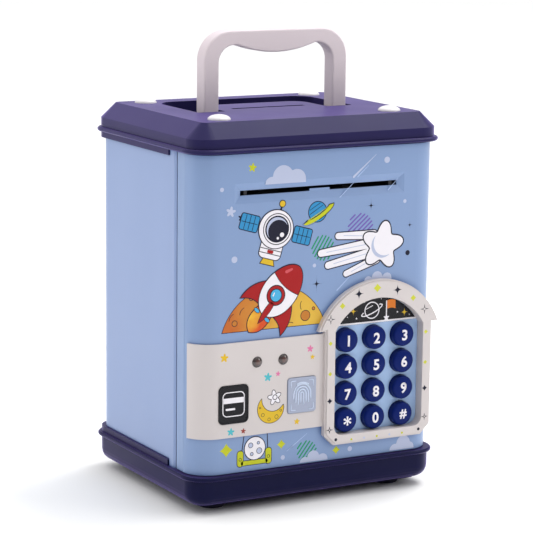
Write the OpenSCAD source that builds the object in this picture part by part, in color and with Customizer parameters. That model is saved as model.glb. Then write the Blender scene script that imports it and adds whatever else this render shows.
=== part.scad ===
// Toy cash-machine savings bank: a box with a lid and a base, a carrying handle that folds
// into the lid, and a whole front that swings open as a door. The door carries the keypad,
// the sensor panel, the banknote feeder, the batteries and the latch.
// X runs to the right, Y to the back, Z up. The origin is on the floor under the middle.

/* [Box] */
// Width of the lid and base walls
box_w = 130; // [126:1:136]
// Depth of the lid and base walls
box_d = 107.8; // [105:0.1:112]
// Radius of the lid and base corners
box_r = 10; // [9:0.5:11]
// Overhang of the rims past the walls
rim_out = 1.8; // [1:0.1:2.5]
// Thickness of the rims
rim_t = 2; // [1.5:0.1:2.5]
// Step from the lid wall in to the body
body_in = 0.8; // [0.6:0.1:1]
// Radius of the body corners
body_r = 12; // [11.5:0.1:12.5]
// Wall thickness of the body and the door
wall_t = 2; // [1.8:0.1:2.2]

/* [Heights] */
// Height of the feet
foot_h = 4; // [3:0.5:5]
// Underside of the body, which is the top of the base rim
sill_z = 18.4; // [18:0.1:19]
// Underside of the lid rim
lid_z = 167; // [166.5:0.1:168]
// Bottom of the lid bevel
bevel_z = 173.6; // [173:0.1:174]
// Top of the lid
top_z = 180.6; // [180:0.1:181]
// Top of the upright handle
handle_top_z = 218; // [216:0.5:218]

/* [Handle] */
// Width over the handle legs
handle_w = 76.6; // [76:0.1:77]
// Width of each leg, seen from the front
leg_w = 7.8; // [7.5:0.1:8]
// Depth of the handle, front to back
handle_t = 8.3; // [8:0.1:8.5]
// Middle of the handle, front to back
handle_y = -5.75; // [-6:0.05:-5.5]
// Height of the pivot
pivot_z = 176.3; // [176:0.1:176.5]
// Radius of the pivot pins
pivot_r = 1.5; // [1.4:0.1:1.6]

/* [Keypad] */
// Middle of the keypad, left to right
pad_x = 31; // [30.5:0.1:31.5]
// Middle of the three columns of keys, left to right
keys_x = 30.3; // [30:0.1:31]
// Spacing of the keys, left to right
key_px = 15.4; // [15:0.05:15.6]
// Spacing of the keys, up and down
key_pz = 12.8; // [12.6:0.01:13]
// Height of the top row of keys
key_top_z = 75.7; // [75:0.1:76]
// Radius of a key
key_r = 5.6; // [5.2:0.05:5.7]
// Height of a key above the keypad plate
key_h = 4.2; // [4:0.1:4.4]
// Travel of a key
key_travel = 1.2; // [0.8:0.1:1.2]
// Height of the bezel above the door
bezel_out = 3.5; // [3:0.1:3.6]

/* [Feeder] */
// Length of the banknote slot
note_w = 83; // [82:0.5:84]
// Height of the banknote slot
note_h = 2.3; // [2:0.1:2.5]
// Middle height of the banknote slot
note_z = 148.45; // [148.3:0.05:148.6]
// Radius of the drive rollers
roller_r = 5.5; // [5.2:0.1:5.5]
// Radius of the idler rollers
idler_r = 3.8; // [3.6:0.1:3.8]
// Module of the feeder gears
gear_m = 0.8; // [0.78:0.01:0.8]
// Teeth on the roller gear
gear_n = 24; // [24]
// Teeth on the motor pinion
pinion_n = 10; // [10]

/* [Hidden] */
$fn = 64;

navy = [0.16, 0.16, 0.36];
sky = [0.6, 0.72, 0.88];
off_white = [0.88, 0.86, 0.87];
key_blue = [0.12, 0.2, 0.5];
board_green = [0.1, 0.4, 0.22];
steel = [0.7, 0.7, 0.72];
rubber_grey = [0.2, 0.2, 0.22];

skin = 2.2;                         // thickness of the lid and base shells
box_hx = box_w / 2;
box_hy = box_d / 2;
body_hx = box_hx - body_in;
body_hy = box_hy - body_in;

// Seams between the fixed body and the door, on both sides of the box
seam_y = -33.3;
seam_gap = 1;
door_z0 = sill_z + 0.5;
door_z1 = lid_z - 0.6;
floor_t = 2;
header_t = 4;
header_in = 2.6;                    // the floor and header stand behind the door wall
panel_in = 0.4;                     // sunk field of the side and back walls
skirt_h = 3;
skirt_y = -26.4;                    // front end of the skirts along the sides
skirt_in = 1.7;
slope_d = 1.8;                      // slope of the side walls down into the seams
slope_l = 2.6;
lip_t = 1;                          // lip of the door that closes the hinge seam from behind
land_in = 4.6;                      // land of the base under the floor of the body

// Door hinge, on the axis of the left front corner
hinge_x = -body_hx + body_r;
hinge_y = -body_hy + body_r;
hinge_pin_r = 1.5;
sweep_r = 14.3;                     // swept by the door's side edge
lug_r = 3.3;
lug_h = 5;
lug_z0 = sill_z + 4.5;              // underside of the lower lug
lug_z1 = lid_z - header_t - 1 - lug_h;

// Screws of the lid and the base
lid_screw = [45.2, 38.05];
base_screw = [36, 40];
post_r = 3.6;
lid_post_h = 8.5;
base_post_h = 12;
lid_seat_z = 172;                   // under the heads of the lid screws
foot_at = [47.5, 37];
foot_r = 6.5;

// Front faces, from the door surface outwards
door_y = -body_hy;
inner_y = door_y + wall_t;          // back of the door wall and front of the keypad plate
band_t = 1;
band_y = door_y - band_t;
bezel_y = door_y - bezel_out;

// Sensor panel
band_z0 = 36;
band_z1 = 80.2;
band_end_y = -45;
led_x = [-33.1, -19.4];
led_z = 70.2;
led_r = 2.5;
card_c = [-45.25, 51.6];
card_half = [7.7, 9];
finger_c = [-9.5, 52.4];
finger_half = [7.5, 8.4];
finger_travel = 0.8;

// Keypad bezel: an arched frame on a rectangular one
bezel_hw = 29;
bezel_z0 = 26.6;
shoulder_z = 81.5;
arch_z = 68.8;
arch_r = 35;
win_hw = 24.1;
win_z0 = 31.2;
win_arch_z = 67.6;
win_arch_r = 27.6;
win_corner_r = 4.5;
plate_t = 1.5;
label_z = 82.3;

// Boards and bosses behind the door
key_board_y = -45.7;
sense_board_y = -46.6;
board_t = 1.6;
key_board_at = [[8, 25.6], [46, 25.6], [9, 100], [53, 100]];
sense_board_at = [[-47, 75], [-4, 75], [-47, 44], [-24, 44]];
liner_at = [[-32, 37.2], [-1, 37.2], [-32, 115.8], [50, 115.8]];
frame_at = [[-43.2, 130], [43.2, 130], [-43.2, 155], [43.2, 155]];
liner_split_y = -40;
frame_ear_y = -47;

// Liner, battery bay and latch
liner_x = [-37, 55];
liner_z = [33, 120];
liner_y = [-42.4, -24];
liner_t = 1.6;
bay_x = [-8, 52.4];
bay_z = [41.5, 88.5];
cell_r = 7.1;
cell_l = 50;
cell_x = -3.4;
cell_y = -33.6;
speaker_at = [-22, 68];
speaker_r = 12;
liner_seat_y = -28.8;               // under the heads of the liner screws
bolt_y = -30;
bolt_z = 104;
bolt_tip_x = 55.6;
strike_x = 57.2;
strike_screw_y = -17;
strike_screw_z = [97, 111];

// Feeder
feed_y = -40;
drive_z = note_z - 0.35 - roller_r;
idler_z = note_z + 0.35 + idler_r;
roller_x = 22;
drive_shaft_r = 1.5;
idler_shaft_r = 1.2;
run_fit = 0.05;                     // radial clearance of running fits
mesh_d = gear_m * (gear_n + pinion_n) / 2 + 0.1;
mesh_a = -50;                       // direction from the drive shaft to the motor
motor_y = feed_y + mesh_d * cos(mesh_a);
motor_z = drive_z + mesh_d * sin(mesh_a);
motor_r = 7.7;
motor_l = 25;
side_x = 37.6;
side_t = 1.6;
gear_x = 41;
gear_t = 3;

// Lid groove for the folded handle
groove_hx = 41.3;
groove_y0 = handle_y - handle_t / 2 - 0.5;
groove_y1 = 36.3;
groove_r = 10;
groove_z = 171;
island_hx = 27.5;
island_y = 16;
island_r = 8;
coin_y = -2;
coin_half = [19.5, 1.4];

// ---------- shared shapes ----------

// Rectangle with round corners, given by its half sizes
module rrect(hx, hy, r) {
    square([2 * hx - 2 * r, 2 * hy], center = true);
    square([2 * hx, 2 * hy - 2 * r], center = true);
    for (sx = [-1, 1], sy = [-1, 1])
        translate([sx * (hx - r), sy * (hy - r)]) circle(r);
}

module slab(hx, hy, r, z0, z1) {
    translate([0, 0, z0]) linear_extrude(z1 - z0) rrect(hx, hy, r);
}

// Round-cornered block whose sides follow a profile of [inset, height] points
module profiled(hx, hy, r, prof) {
    n = len(prof) - 1;
    z0 = prof[0][1];
    z1 = prof[n][1];
    for (sx = [-1, 1], sy = [-1, 1])
        translate([sx * (hx - r), sy * (hy - r), 0])
            rotate_extrude() polygon(concat([[0, z0]], [for (p = prof) [r - p[0], p[1]]], [[0, z1]]));
    translate([-(hx - r), 0, 0]) rotate([90, 0, 90]) linear_extrude(2 * (hx - r))
        polygon(concat([for (p = prof) [hy - p[0], p[1]]],
                       [for (i = [n:-1:0]) [prof[i][0] - hy, prof[i][1]]]));
    translate([0, hy - r, 0]) rotate([90, 0, 0]) linear_extrude(2 * (hy - r))
        polygon(concat([for (p = prof) [hx - p[0], p[1]]],
                       [for (i = [n:-1:0]) [prof[i][0] - hx, prof[i][1]]]));
}

module box(lo, hi) {
    translate(lo) cube(hi - lo);
}

// Plane shape in X and Z, given thickness from y0 back to y1
module along_y(y0, y1) {
    translate([0, y1, 0]) rotate([90, 0, 0]) linear_extrude(y1 - y0) children();
}

// Plane shape in Y and Z, given thickness from x0 to x1
module along_x(x0, x1) {
    translate([x0, 0, 0]) rotate([90, 0, 90]) linear_extrude(x1 - x0) children();
}

module rod_x(x0, x1, y, z, r) {
    along_x(x0, x1) translate([y, z]) circle(r);
}

module rod_y(y0, y1, x, z, r) {
    along_y(y0, y1) translate([x, z]) circle(r);
}

module rod_z(z0, z1, x, y, r) {
    translate([x, y, z0]) cylinder(h = z1 - z0, r = r);
}

module cylinder_at(z0, z1, r) {
    translate([0, 0, z0]) cylinder(h = z1 - z0, r = r);
}

module four(p) {
    for (sx = [-1, 1], sy = [-1, 1]) translate([sx * p[0], sy * p[1], 0]) children();
}

// Ring of body wall between two heights
module body_ring(z0, z1, out, in) {
    difference() {
        slab(body_hx - out, body_hy - out, body_r - out, z0, z1);
        slab(body_hx - in, body_hy - in, body_r - in, z0 - 1, z1 + 1);
    }
}

// Everything behind the plane y
module behind(y) {
    box([-100, y, 0], [100, 100, 230]);
}

module in_front(y) {
    box([-100, -100, 0], [100, y, 230]);
}

// Bosses on the back of the door wall
module door_bosses(points, y1, r) {
    for (p = points) rod_y(inner_y - 0.5, y1, p[0], p[1], r);
}

module screw_y(p, head_y, tip_y, head_r, r) {
    rod_y(head_y, head_y + 1.2, p[0], p[1], head_r);
    rod_y(tip_y, head_y, p[0], p[1], r);
}

// Window of the keypad, grown by d on every side
module window(d) {
    translate([pad_x, 0]) intersection() {
        translate([-win_hw - d, win_z0 - d]) square([2 * (win_hw + d), 80]);
        union() {
            translate([0, win_arch_z]) circle(win_arch_r + d);
            translate([0, (win_z0 + win_arch_z + 10) / 2])
                rrect(win_hw + d, (win_arch_z + 10 - win_z0) / 2 + d, win_corner_r + d);
        }
    }
}

module gear(n, backlash) {
    rp = gear_m * n / 2;
    rr = rp - 1.2 * gear_m;
    ro = rp + 0.9 * gear_m;
    half = 90 / n - backlash / rp * 90 / PI;    // quarter pitch, less the backlash
    circle(rr + 0.05);
    for (i = [0:n - 1]) rotate(i * 360 / n)
        polygon([for (q = [[rr - 0.3, -1.5], [rp, -1], [ro, -0.5], [ro, 0.5], [rp, 1], [rr - 0.3, 1.5]])
                 [q[0] * cos(half * q[1]), q[0] * sin(half * q[1])]]);
}

// ---------- fixed box ----------

module shell_walls() {
    difference() {
        intersection() {
            union() {
                body_ring(sill_z + skirt_h + 0.2, lid_z - skirt_h - 0.2, panel_in, wall_t);
                body_ring(sill_z, lid_z - 0.1, 1, wall_t);
                // the walls keep their full thickness in front of the skirts
                intersection() {
                    body_ring(sill_z, lid_z - 0.1, 0, wall_t);
                    in_front(skirt_y - 0.2);
                }
                slab(body_hx - 1, body_hy - 1, body_r - 1, lid_z - header_t, lid_z - 0.1);
                slab(body_hx - 1, body_hy - 1, body_r - 1, sill_z, sill_z + floor_t);
            }
            behind(seam_y);
        }
        rod_z(sill_z - 1, lid_z + 1, hinge_x, hinge_y, sweep_r);
        for (s = [-1, 1]) translate([0, 0, sill_z - 1]) linear_extrude(lid_z - sill_z + 2)
            polygon([[s * (body_hx + 0.1), seam_y + slope_l], [s * (body_hx + 0.1), seam_y - 1],
                     [s * (body_hx - slope_d), seam_y - 1]]);
    }
}

// Path of the door's side edge through the floor or the header
module edge_path(z0, z1) {
    translate([hinge_x, hinge_y, z0]) linear_extrude(z1 - z0)
        difference() {
            circle(sweep_r);
            circle(body_r - header_in - 0.1);
            polygon([[0, 0], [30 * cos(40), 30 * sin(40)], [30, -30], [0, -30]]);
        }
}

module body_shell() {
    color(sky) difference() {
        union() {
            shell_walls();
            // floor and header, behind the lower and upper edges of the door
            for (z = [[sill_z, sill_z + floor_t], [lid_z - header_t, lid_z - 0.1]])
                slab(body_hx - header_in, body_hy - header_in, body_r - header_in, z[0], z[1]);
            four(lid_screw) cylinder_at(lid_z - lid_post_h, lid_z - 0.1, post_r);
            four(base_screw) cylinder_at(sill_z, sill_z + base_post_h, post_r);
            rod_z(sill_z, sill_z + 4.1, hinge_x, hinge_y, lug_r);
        }
        // opening in the header for coins and notes
        translate([0, 8, 0]) slab(39, 36, 6, lid_z - header_t - 1, lid_z + 1);
        edge_path(sill_z - 1, sill_z + floor_t + 1);
        edge_path(lid_z - header_t - 1, lid_z + 1);
        four(lid_screw) cylinder_at(lid_z - lid_post_h - 1, lid_z + 1, 1.3);
        four(base_screw) cylinder_at(sill_z - 1, sill_z + base_post_h - 1.5, 1.3);
        rod_z(sill_z + 0.2, sill_z + 5, hinge_x, hinge_y, hinge_pin_r);
        rod_z(lid_z - header_t - 1, lid_z + 1, hinge_x, hinge_y, hinge_pin_r);
        for (z = strike_screw_z)
            rod_x(body_hx - wall_t - 1, body_hx - 0.6, strike_screw_y, z, 0.8);
    }
}

// U-shaped groove of the lid, grown by d
module groove(d) {
    difference() {
        intersection() {
            translate([0, (groove_y1 - 60) / 2])
                rrect(groove_hx + d, (groove_y1 + 60) / 2 + d, groove_r + d);
            translate([-100, groove_y0 - d]) square([200, 100]);
        }
        intersection() {
            translate([0, (island_y - 60) / 2])
                rrect(island_hx - d, (island_y + 60) / 2 - d, island_r - d / 2);
            translate([-100, groove_y0 - 2 * d - 1]) square([200, 100]);
        }
    }
}

module skirt(z0, z1) {
    difference() {
        intersection() {
            slab(box_hx, box_hy, box_r, z0, z1);
            behind(skirt_y);
        }
        slab(box_hx - skirt_in, box_hy - skirt_in, body_r - 0.9, z0 - 1, z1 + 1);
    }
}

module rim(z0) {
    profiled(box_hx + rim_out, box_hy + rim_out, box_r + rim_out,
             [[0.6, z0], [0, z0 + 0.6], [0, z0 + rim_t - 0.6], [0.6, z0 + rim_t]]);
}

module lid_shell() {
    bevel = top_z - bevel_z;
    color(navy) difference() {
        union() {
            difference() {
                union() {
                    rim(lid_z);
                    profiled(box_hx, box_hy, box_r,
                             [[0, lid_z + 1], [0, bevel_z], [bevel, top_z]]);
                }
                profiled(box_hx, box_hy, box_r,
                         [[skin, lid_z - 1], [skin, bevel_z - 0.9], [bevel + 0.9, top_z - skin]]);
            }
            skirt(lid_z - skirt_h, lid_z + 0.5);
            translate([0, 0, groove_z - 2]) linear_extrude(top_z - groove_z + 1) groove(2);
            four(lid_screw) cylinder_at(lid_z, top_z - 1, 5);
            // lips that guide a coin down, and bosses that hold the handle's pins
            box([-coin_half[0] - 1.5, coin_y - coin_half[1] - 1.5, top_z - 7],
                [coin_half[0] + 1.5, coin_y + coin_half[1] + 1.5, top_z - 1]);
            for (s = [-1, 1]) rod_x(s * 42.5 - 4, s * 42.5 + 4, handle_y, pivot_z, 3.4);
        }
        translate([0, 0, groove_z]) linear_extrude(20) difference() {
            groove(0);
            for (s = [-1, 1]) translate([s * 40.1 - 1.3, handle_y - 3.4]) square([2.6, 6.8]);
        }
        for (s = [-1, 1]) {
            // clear the groove around each pin boss
            difference() {
                box([s * 40.1 - 1.3, handle_y - 3.5, groove_z], [s * 40.1 + 1.3, handle_y + 3.5, 190]);
                rod_x(s * 40.1 - 2, s * 40.1 + 2, handle_y, pivot_z, 3.4);
            }
            rod_x(s * 42 - 6, s * 42 + 3.9, handle_y, pivot_z, pivot_r);
        }
        box([-coin_half[0], coin_y - coin_half[1], 160], [coin_half[0], coin_y + coin_half[1], 190]);
        four(lid_screw) cylinder_at(lid_seat_z, top_z + 1, 3.1);
        four(lid_screw) cylinder_at(lid_z - 1, lid_seat_z + 1, 1.6);
    }
}

module lid_screw_caps() {
    dome_r = 5.35;
    dome_h = 2.4;
    color(off_white) four(lid_screw) {
        rotate_extrude() polygon(concat([[0, top_z]],
            [for (a = [0:9:90]) [dome_r * cos(a), top_z + dome_h * sin(a)]]));
        cylinder_at(top_z - 4, top_z + 0.5, 3);
    }
}

module lid_screws() {
    color(steel) four(lid_screw) {
        cylinder_at(lid_seat_z, lid_seat_z + 2, 2.8);
        cylinder_at(lid_z - lid_post_h + 1, lid_seat_z, 1.25);
    }
}

module base_shell() {
    floor_z = foot_h;
    edge_r = 5.6;
    inner_r = edge_r - 1;
    pad_in = 6.6;                   // a raised field under the floor
    pad_t = 1;
    arc = [for (a = [0:18:90]) [edge_r * (1 - sin(a)), floor_z + edge_r * (1 - cos(a))]];
    inner = [for (a = [0:30:90])
        [skin + inner_r * (1 - sin(a)), floor_z + skin + inner_r * (1 - cos(a))]];
    color(navy) difference() {
        union() {
            difference() {
                union() {
                    profiled(box_hx, box_hy, box_r, concat(arc, [[0, sill_z - 1]]));
                    slab(box_hx - pad_in, box_hy - pad_in, box_r - pad_in, floor_z - pad_t, floor_z + 1);
                    rim(sill_z - rim_t);
                }
                profiled(box_hx, box_hy, box_r, concat(inner, [[skin, sill_z + 1]]));
            }
            // land under the body's floor, which also closes off the path of the door's edge
            difference() {
                slab(box_hx - 1, box_hy - 1, box_r - 1, sill_z - rim_t, sill_z);
                difference() {
                    slab(box_hx - land_in, box_hy - land_in, box_r - land_in, 0, sill_z + 1);
                    rod_z(-1, sill_z + 2, hinge_x, hinge_y, sweep_r + 1);
                }
            }
            skirt(sill_z - 0.5, sill_z + skirt_h);
            four(base_screw) cylinder_at(floor_z + 1, sill_z - 0.1, 4.6);
            // ribs that stiffen the floor
            for (x = [-18, 18]) box([x - 0.8, -50, floor_z + 1], [x + 0.8, 50, floor_z + 6]);
            for (y = [-18, 18]) box([-60, y - 0.8, floor_z + 1], [60, y + 0.8, floor_z + 6]);
        }
        four(base_screw) cylinder_at(0, floor_z + 7, 3.2);
        four(base_screw) cylinder_at(0, sill_z + 1, 1.6);
        four(foot_at) cylinder_at(0, floor_z + 3, 2.5);
        four(foot_at) cylinder_at(0, floor_z, foot_r + 0.3);
    }
}

module base_feet() {
    color(navy) four(foot_at) {
        translate([0, 0, 0]) cylinder(h = 1, r1 = foot_r - 0.8, r2 = foot_r);
        cylinder_at(1, foot_h, foot_r);
        cylinder_at(foot_h - 0.5, foot_h + skin + 1.4, 2.4);
        cylinder_at(foot_h + skin + 0.1, foot_h + skin + 1.4, 3.1);
    }
}

module base_screws() {
    color(steel) four(base_screw) {
        cylinder_at(foot_h + 5, foot_h + 7, 2.8);
        cylinder_at(foot_h + 7, sill_z + base_post_h - 3, 1.25);
    }
}

module strike_plate() {
    wall_x = body_hx - wall_t;
    color(steel) difference() {
        union() {
            box([strike_x, -38, 95], [strike_x + 1.5, -22, 113]);
            box([strike_x, -23.5, 95], [wall_x, -22, 113]);
            box([wall_x - 1.5, -23.5, 92], [wall_x, -12, 116]);
        }
        box([strike_x - 1, bolt_y - 3.8, bolt_z - 4.9], [strike_x + 3, bolt_y + 3.8, bolt_z + 4.9]);
        for (z = strike_screw_z) rod_x(wall_x - 4, wall_x + 1, strike_screw_y, z, 1.1);
    }
}

module strike_screws() {
    wall_x = body_hx - wall_t;
    color(steel) for (z = strike_screw_z) {
        rod_x(wall_x - 2.7, wall_x - 1.5, strike_screw_y, z, 2);
        rod_x(wall_x - 2, wall_x + 1.2, strike_screw_y, z, 0.8);
    }
}

module door_hinge_pins() {
    color(steel) {
        rod_z(sill_z + 0.2, lug_z0 + lug_h - 0.5, hinge_x, hinge_y, hinge_pin_r);
        rod_z(lug_z1 + 0.5, lid_z - 0.2, hinge_x, hinge_y, hinge_pin_r);
    }
}

module handle_pins() {
    color(steel) for (s = [-1, 1])
        rod_x(s * 39.9 - 5.9, s * 39.9 + 5.9, handle_y, pivot_z, pivot_r);
}

// ---------- handle ----------

module handle() {
    hx = handle_w / 2;
    in = hx - leg_w;
    corner_z = 203;
    grip_z = 207.3;                 // lowest point of the finger grip
    grip_r = 57.5;
    color(off_white) difference() {
        union() {
            along_y(handle_y - handle_t / 2, handle_y + handle_t / 2) difference() {
                union() {
                    translate([-hx, pivot_z]) square([2 * hx, handle_top_z - 14 - pivot_z]);
                    translate([14 - hx, handle_top_z - 20]) square([2 * hx - 28, 20]);
                    for (s = [-1, 1]) translate([s * (hx - 14), handle_top_z - 14]) circle(14);
                }
                difference() {
                    union() {
                        translate([-in, pivot_z - 1]) square([2 * in, corner_z - pivot_z + 1]);
                        translate([8.24 - in, corner_z]) square([2 * in - 16.48, 8.24]);
                        for (s = [-1, 1]) translate([s * (in - 8.24), corner_z]) circle(8.24);
                    }
                    translate([0, grip_z + grip_r]) circle(grip_r, $fn = 160);
                }
            }
            for (s = [-1, 1])
                rod_x(s * (hx - leg_w / 2) - leg_w / 2, s * (hx - leg_w / 2) + leg_w / 2,
                      handle_y, pivot_z, handle_t / 2);
        }
        for (s = [-1, 1])
            rod_x(s * 36.5 - 3, s * 36.5 + 3, handle_y, pivot_z, pivot_r + run_fit);
    }
}

// ---------- door ----------

module wrap(out, z0, z1, y_end) {
    intersection() {
        difference() {
            slab(body_hx + out, body_hy + out, body_r + out, z0, z1);
            slab(body_hx + out - wall_t, body_hy + out - wall_t, body_r + out - wall_t, z0 - 1, z1 + 1);
        }
        in_front(y_end);
    }
}

// Lug around the hinge axis, tied to the corner of the door
module hinge_lug(z0) {
    rod_z(z0, z0 + lug_h, hinge_x, hinge_y, lug_r);
    translate([hinge_x, hinge_y, z0]) rotate([0, 0, 225]) translate([lug_r - 0.8, -1.5, 0])
        cube([body_r - lug_r - 0.2, 3, lug_h]);
}

// Lip behind the seam on the hinge side
module seam_lip(z0, z1) {
    inner_x = wall_t - body_hx;
    end_y = seam_y - seam_gap;
    box([inner_x - 0.2, end_y - 3, z0], [inner_x + 0.2 + lip_t, end_y - 0.3, z1]);
    box([inner_x + 0.2, end_y - 1, z0], [inner_x + 0.2 + lip_t, seam_y + 1.5, z1]);
}

module door_panel() {
    slot_h = note_h / 2;
    hx = note_w / 2;
    sunk_y = door_y + 1.4;          // bottom of the slot's frame
    slope = 4.2;
    color(sky) difference() {
        union() {
            wrap(0, door_z0, door_z1, seam_y - seam_gap);
            hinge_lug(lug_z0);
            hinge_lug(lug_z1);
            seam_lip(sill_z + floor_t + 0.6, lid_z - lid_post_h - 0.5);
            door_bosses(key_board_at, key_board_y, 2.2);
            door_bosses(sense_board_at, sense_board_y, 2.2);
            door_bosses(liner_at, liner_split_y, 2.5);
            door_bosses(frame_at, frame_ear_y, 2.6);
        }
        for (z = [lug_z0, lug_z1])
            rod_z(z - 1, z + lug_h + 1, hinge_x, hinge_y, hinge_pin_r + run_fit);
        // banknote slot with its thumb tab, in a shallow sloping frame
        difference() {
            box([-hx, door_y - 1, note_z - slot_h], [hx, inner_y + 1, note_z + slot_h]);
            box([-5.3, door_y - 2, note_z - 5], [5.3, inner_y + 2, note_z - 0.05]);
        }
        intersection() {
            along_x(-60, 60) polygon([
                [sunk_y, note_z - slot_h], [door_y - 0.3, note_z - slot_h - slope],
                [door_y - 0.3, note_z + slot_h + slope], [sunk_y, note_z + slot_h]]);
            translate([0, 0, note_z - 10]) linear_extrude(20) polygon([
                [-hx, sunk_y], [-hx - slope, door_y - 0.3], [hx + slope, door_y - 0.3],
                [hx, sunk_y]]);
        }
        along_y(door_y - 1, inner_y + 2) window(1.2);
        along_y(door_y - 1, inner_y + 1) translate(finger_c)
            rrect(finger_half[0] + 0.2, finger_half[1] + 0.2, 1.6);
        for (x = led_x) rod_y(door_y - 1, inner_y + 1, x, led_z, led_r + 0.1);
        for (p = concat(key_board_at, sense_board_at))
            rod_y(inner_y - 0.6, -40, p[0], p[1], 0.9);
        for (p = concat(liner_at, frame_at)) rod_y(inner_y - 0.6, -36, p[0], p[1], 1.1);
    }
}

module sensor_panel() {
    color(off_white) difference() {
        intersection() {
            difference() {
                slab(body_hx + band_t, body_hy + band_t, body_r + band_t, band_z0, band_z1);
                slab(body_hx, body_hy, body_r, band_z0 - 1, band_z1 + 1);
            }
            box([-100, -100, 0], [pad_x - bezel_hw, band_end_y, 200]);
        }
        along_y(band_y - 1, door_y + 1) translate(finger_c)
            rrect(finger_half[0] + 0.2, finger_half[1] + 0.2, 1.6);
        along_y(band_y - 1, door_y + 1) translate(card_c)
            rrect(card_half[0] + 0.1, card_half[1] + 0.1, 2.5);
        for (x = led_x) rod_y(band_y - 1, door_y + 1, x, led_z, led_r + 0.1);
    }
}

module card_window() {
    color("black") difference() {
        along_y(band_y - 0.5, door_y) translate(card_c) rrect(card_half[0], card_half[1], 2.4);
        along_y(band_y - 1, band_y - 0.2) translate(card_c)
            rrect(card_half[0] - 0.7, card_half[1] - 0.7, 1.8);
    }
}

module indicator_leds() {
    color([0.12, 0.1, 0.1]) for (x = led_x) {
        rod_y(band_y - 0.2, sense_board_y, x, led_z, led_r);
        intersection() {
            translate([x, band_y - 0.2 + 2.5, led_z]) sphere(3.5);
            rod_y(band_y - 2, band_y, x, led_z, led_r);
        }
        rod_y(inner_y + 0.1, inner_y + 1.1, x, led_z, led_r + 0.6);
    }
}

module fingerprint_button() {
    color(sky) {
        along_y(band_y - 0.6, inner_y + 0.6) translate(finger_c)
            rrect(finger_half[0], finger_half[1], 1.5);
        along_y(inner_y + 0.1, inner_y + 1.1) translate(finger_c)
            rrect(finger_half[0] + 1.2, finger_half[1] + 1.2, 1.5);
        rod_y(inner_y + 1, sense_board_y - 1.5, finger_c[0], finger_c[1], 2);
    }
}

module bezel_outline(d) {
    translate([pad_x, 0]) {
        hw = bezel_hw - d;
        c = 5;
        polygon([[-hw + c, bezel_z0 + d], [hw - c, bezel_z0 + d], [hw, bezel_z0 + d + c],
                 [hw, shoulder_z + 2], [-hw, shoulder_z + 2], [-hw, bezel_z0 + d + c]]);
        intersection() {
            translate([0, arch_z]) circle(arch_r - d, $fn = 120);
            translate([-50, shoulder_z + d]) square([100, 60]);
        }
    }
}

module keypad_bezel() {
    edge = 0.8;
    color(off_white) difference() {
        union() {
            // the back of the bezel follows the curve of the door
            difference() {
                union() {
                    along_y(bezel_y + edge, door_y + bezel_out) bezel_outline(0);
                    along_y(bezel_y, bezel_y + edge + 0.1) bezel_outline(edge);
                }
                slab(body_hx, body_hy, body_r, 0, lid_z);
            }
            along_y(door_y - 0.5, inner_y - 0.05) window(1.1);
        }
        along_y(bezel_y - 1, inner_y + 1) window(0);
    }
}

module key_place(col, row) {
    translate([keys_x + (col - 1) * key_px, 0, key_top_z - row * key_pz]) rotate([90, 0, 0])
        children();
}

module keypad_plate() {
    color(sky) difference() {
        along_y(inner_y, inner_y + plate_t) window(1.1);
        for (col = [0:2], row = [0:3]) key_place(col, row)
            cylinder_at(-inner_y - 5, -inner_y + 5, key_r + 0.2);
    }
}

module keypad_label() {
    color("black") intersection() {
        along_y(inner_y - 0.3, inner_y) window(-0.15);
        translate([-100, -100, label_z]) cube([300, 200, 60]);
    }
}

// A key: a domed cap with a flange that stops behind the plate
module key(col, row) {
    face = -inner_y + key_h;
    back = -inner_y - plate_t;
    edge = 1.3;
    flange_r = key_r + 0.5;
    color(key_blue) key_place(col, row) rotate_extrude() polygon(concat(
        [[0, back - 1.1], [flange_r, back - 1.1], [flange_r, back - 0.1], [key_r, back - 0.1]],
        [for (a = [0:15:90]) [key_r - edge + edge * cos(a), face - 0.35 - edge + edge * sin(a)]],
        [[key_r / 2, face - 0.1], [0, face]]));
}

module keypad_mat() {
    y = inner_y + plate_t + 1.1 + key_travel;
    color([0.75, 0.75, 0.76]) {
        box([pad_x - 22, y + 0.8, 29], [pad_x + 22, key_board_y, 83]);
        for (col = [0:2], row = [0:3]) key_place(col, row) cylinder_at(-y - 1, -y - 0.15, 2.6);
    }
}

module board(x, z, y, holes) {
    color(board_green) difference() {
        box([x[0], y, z[0]], [x[1], y + board_t, z[1]]);
        for (p = holes) rod_y(y - 1, y + 3, p[0], p[1], 1);
    }
}

module keypad_board() {
    board([pad_x - 26.5, pad_x + 26.5], [22.5, 103.5], key_board_y, key_board_at);
}

module sensor_board() {
    board([-50.5, -0.5], [40.8, 78], sense_board_y, sense_board_at);
}

module board_screws() {
    color(steel) {
        for (p = key_board_at) screw_y(p, key_board_y + board_t, inner_y, 1.9, 0.85);
        for (p = sense_board_at) screw_y(p, sense_board_y + board_t, inner_y, 1.9, 0.85);
    }
}

// ---------- liner, batteries and latch ----------

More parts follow.
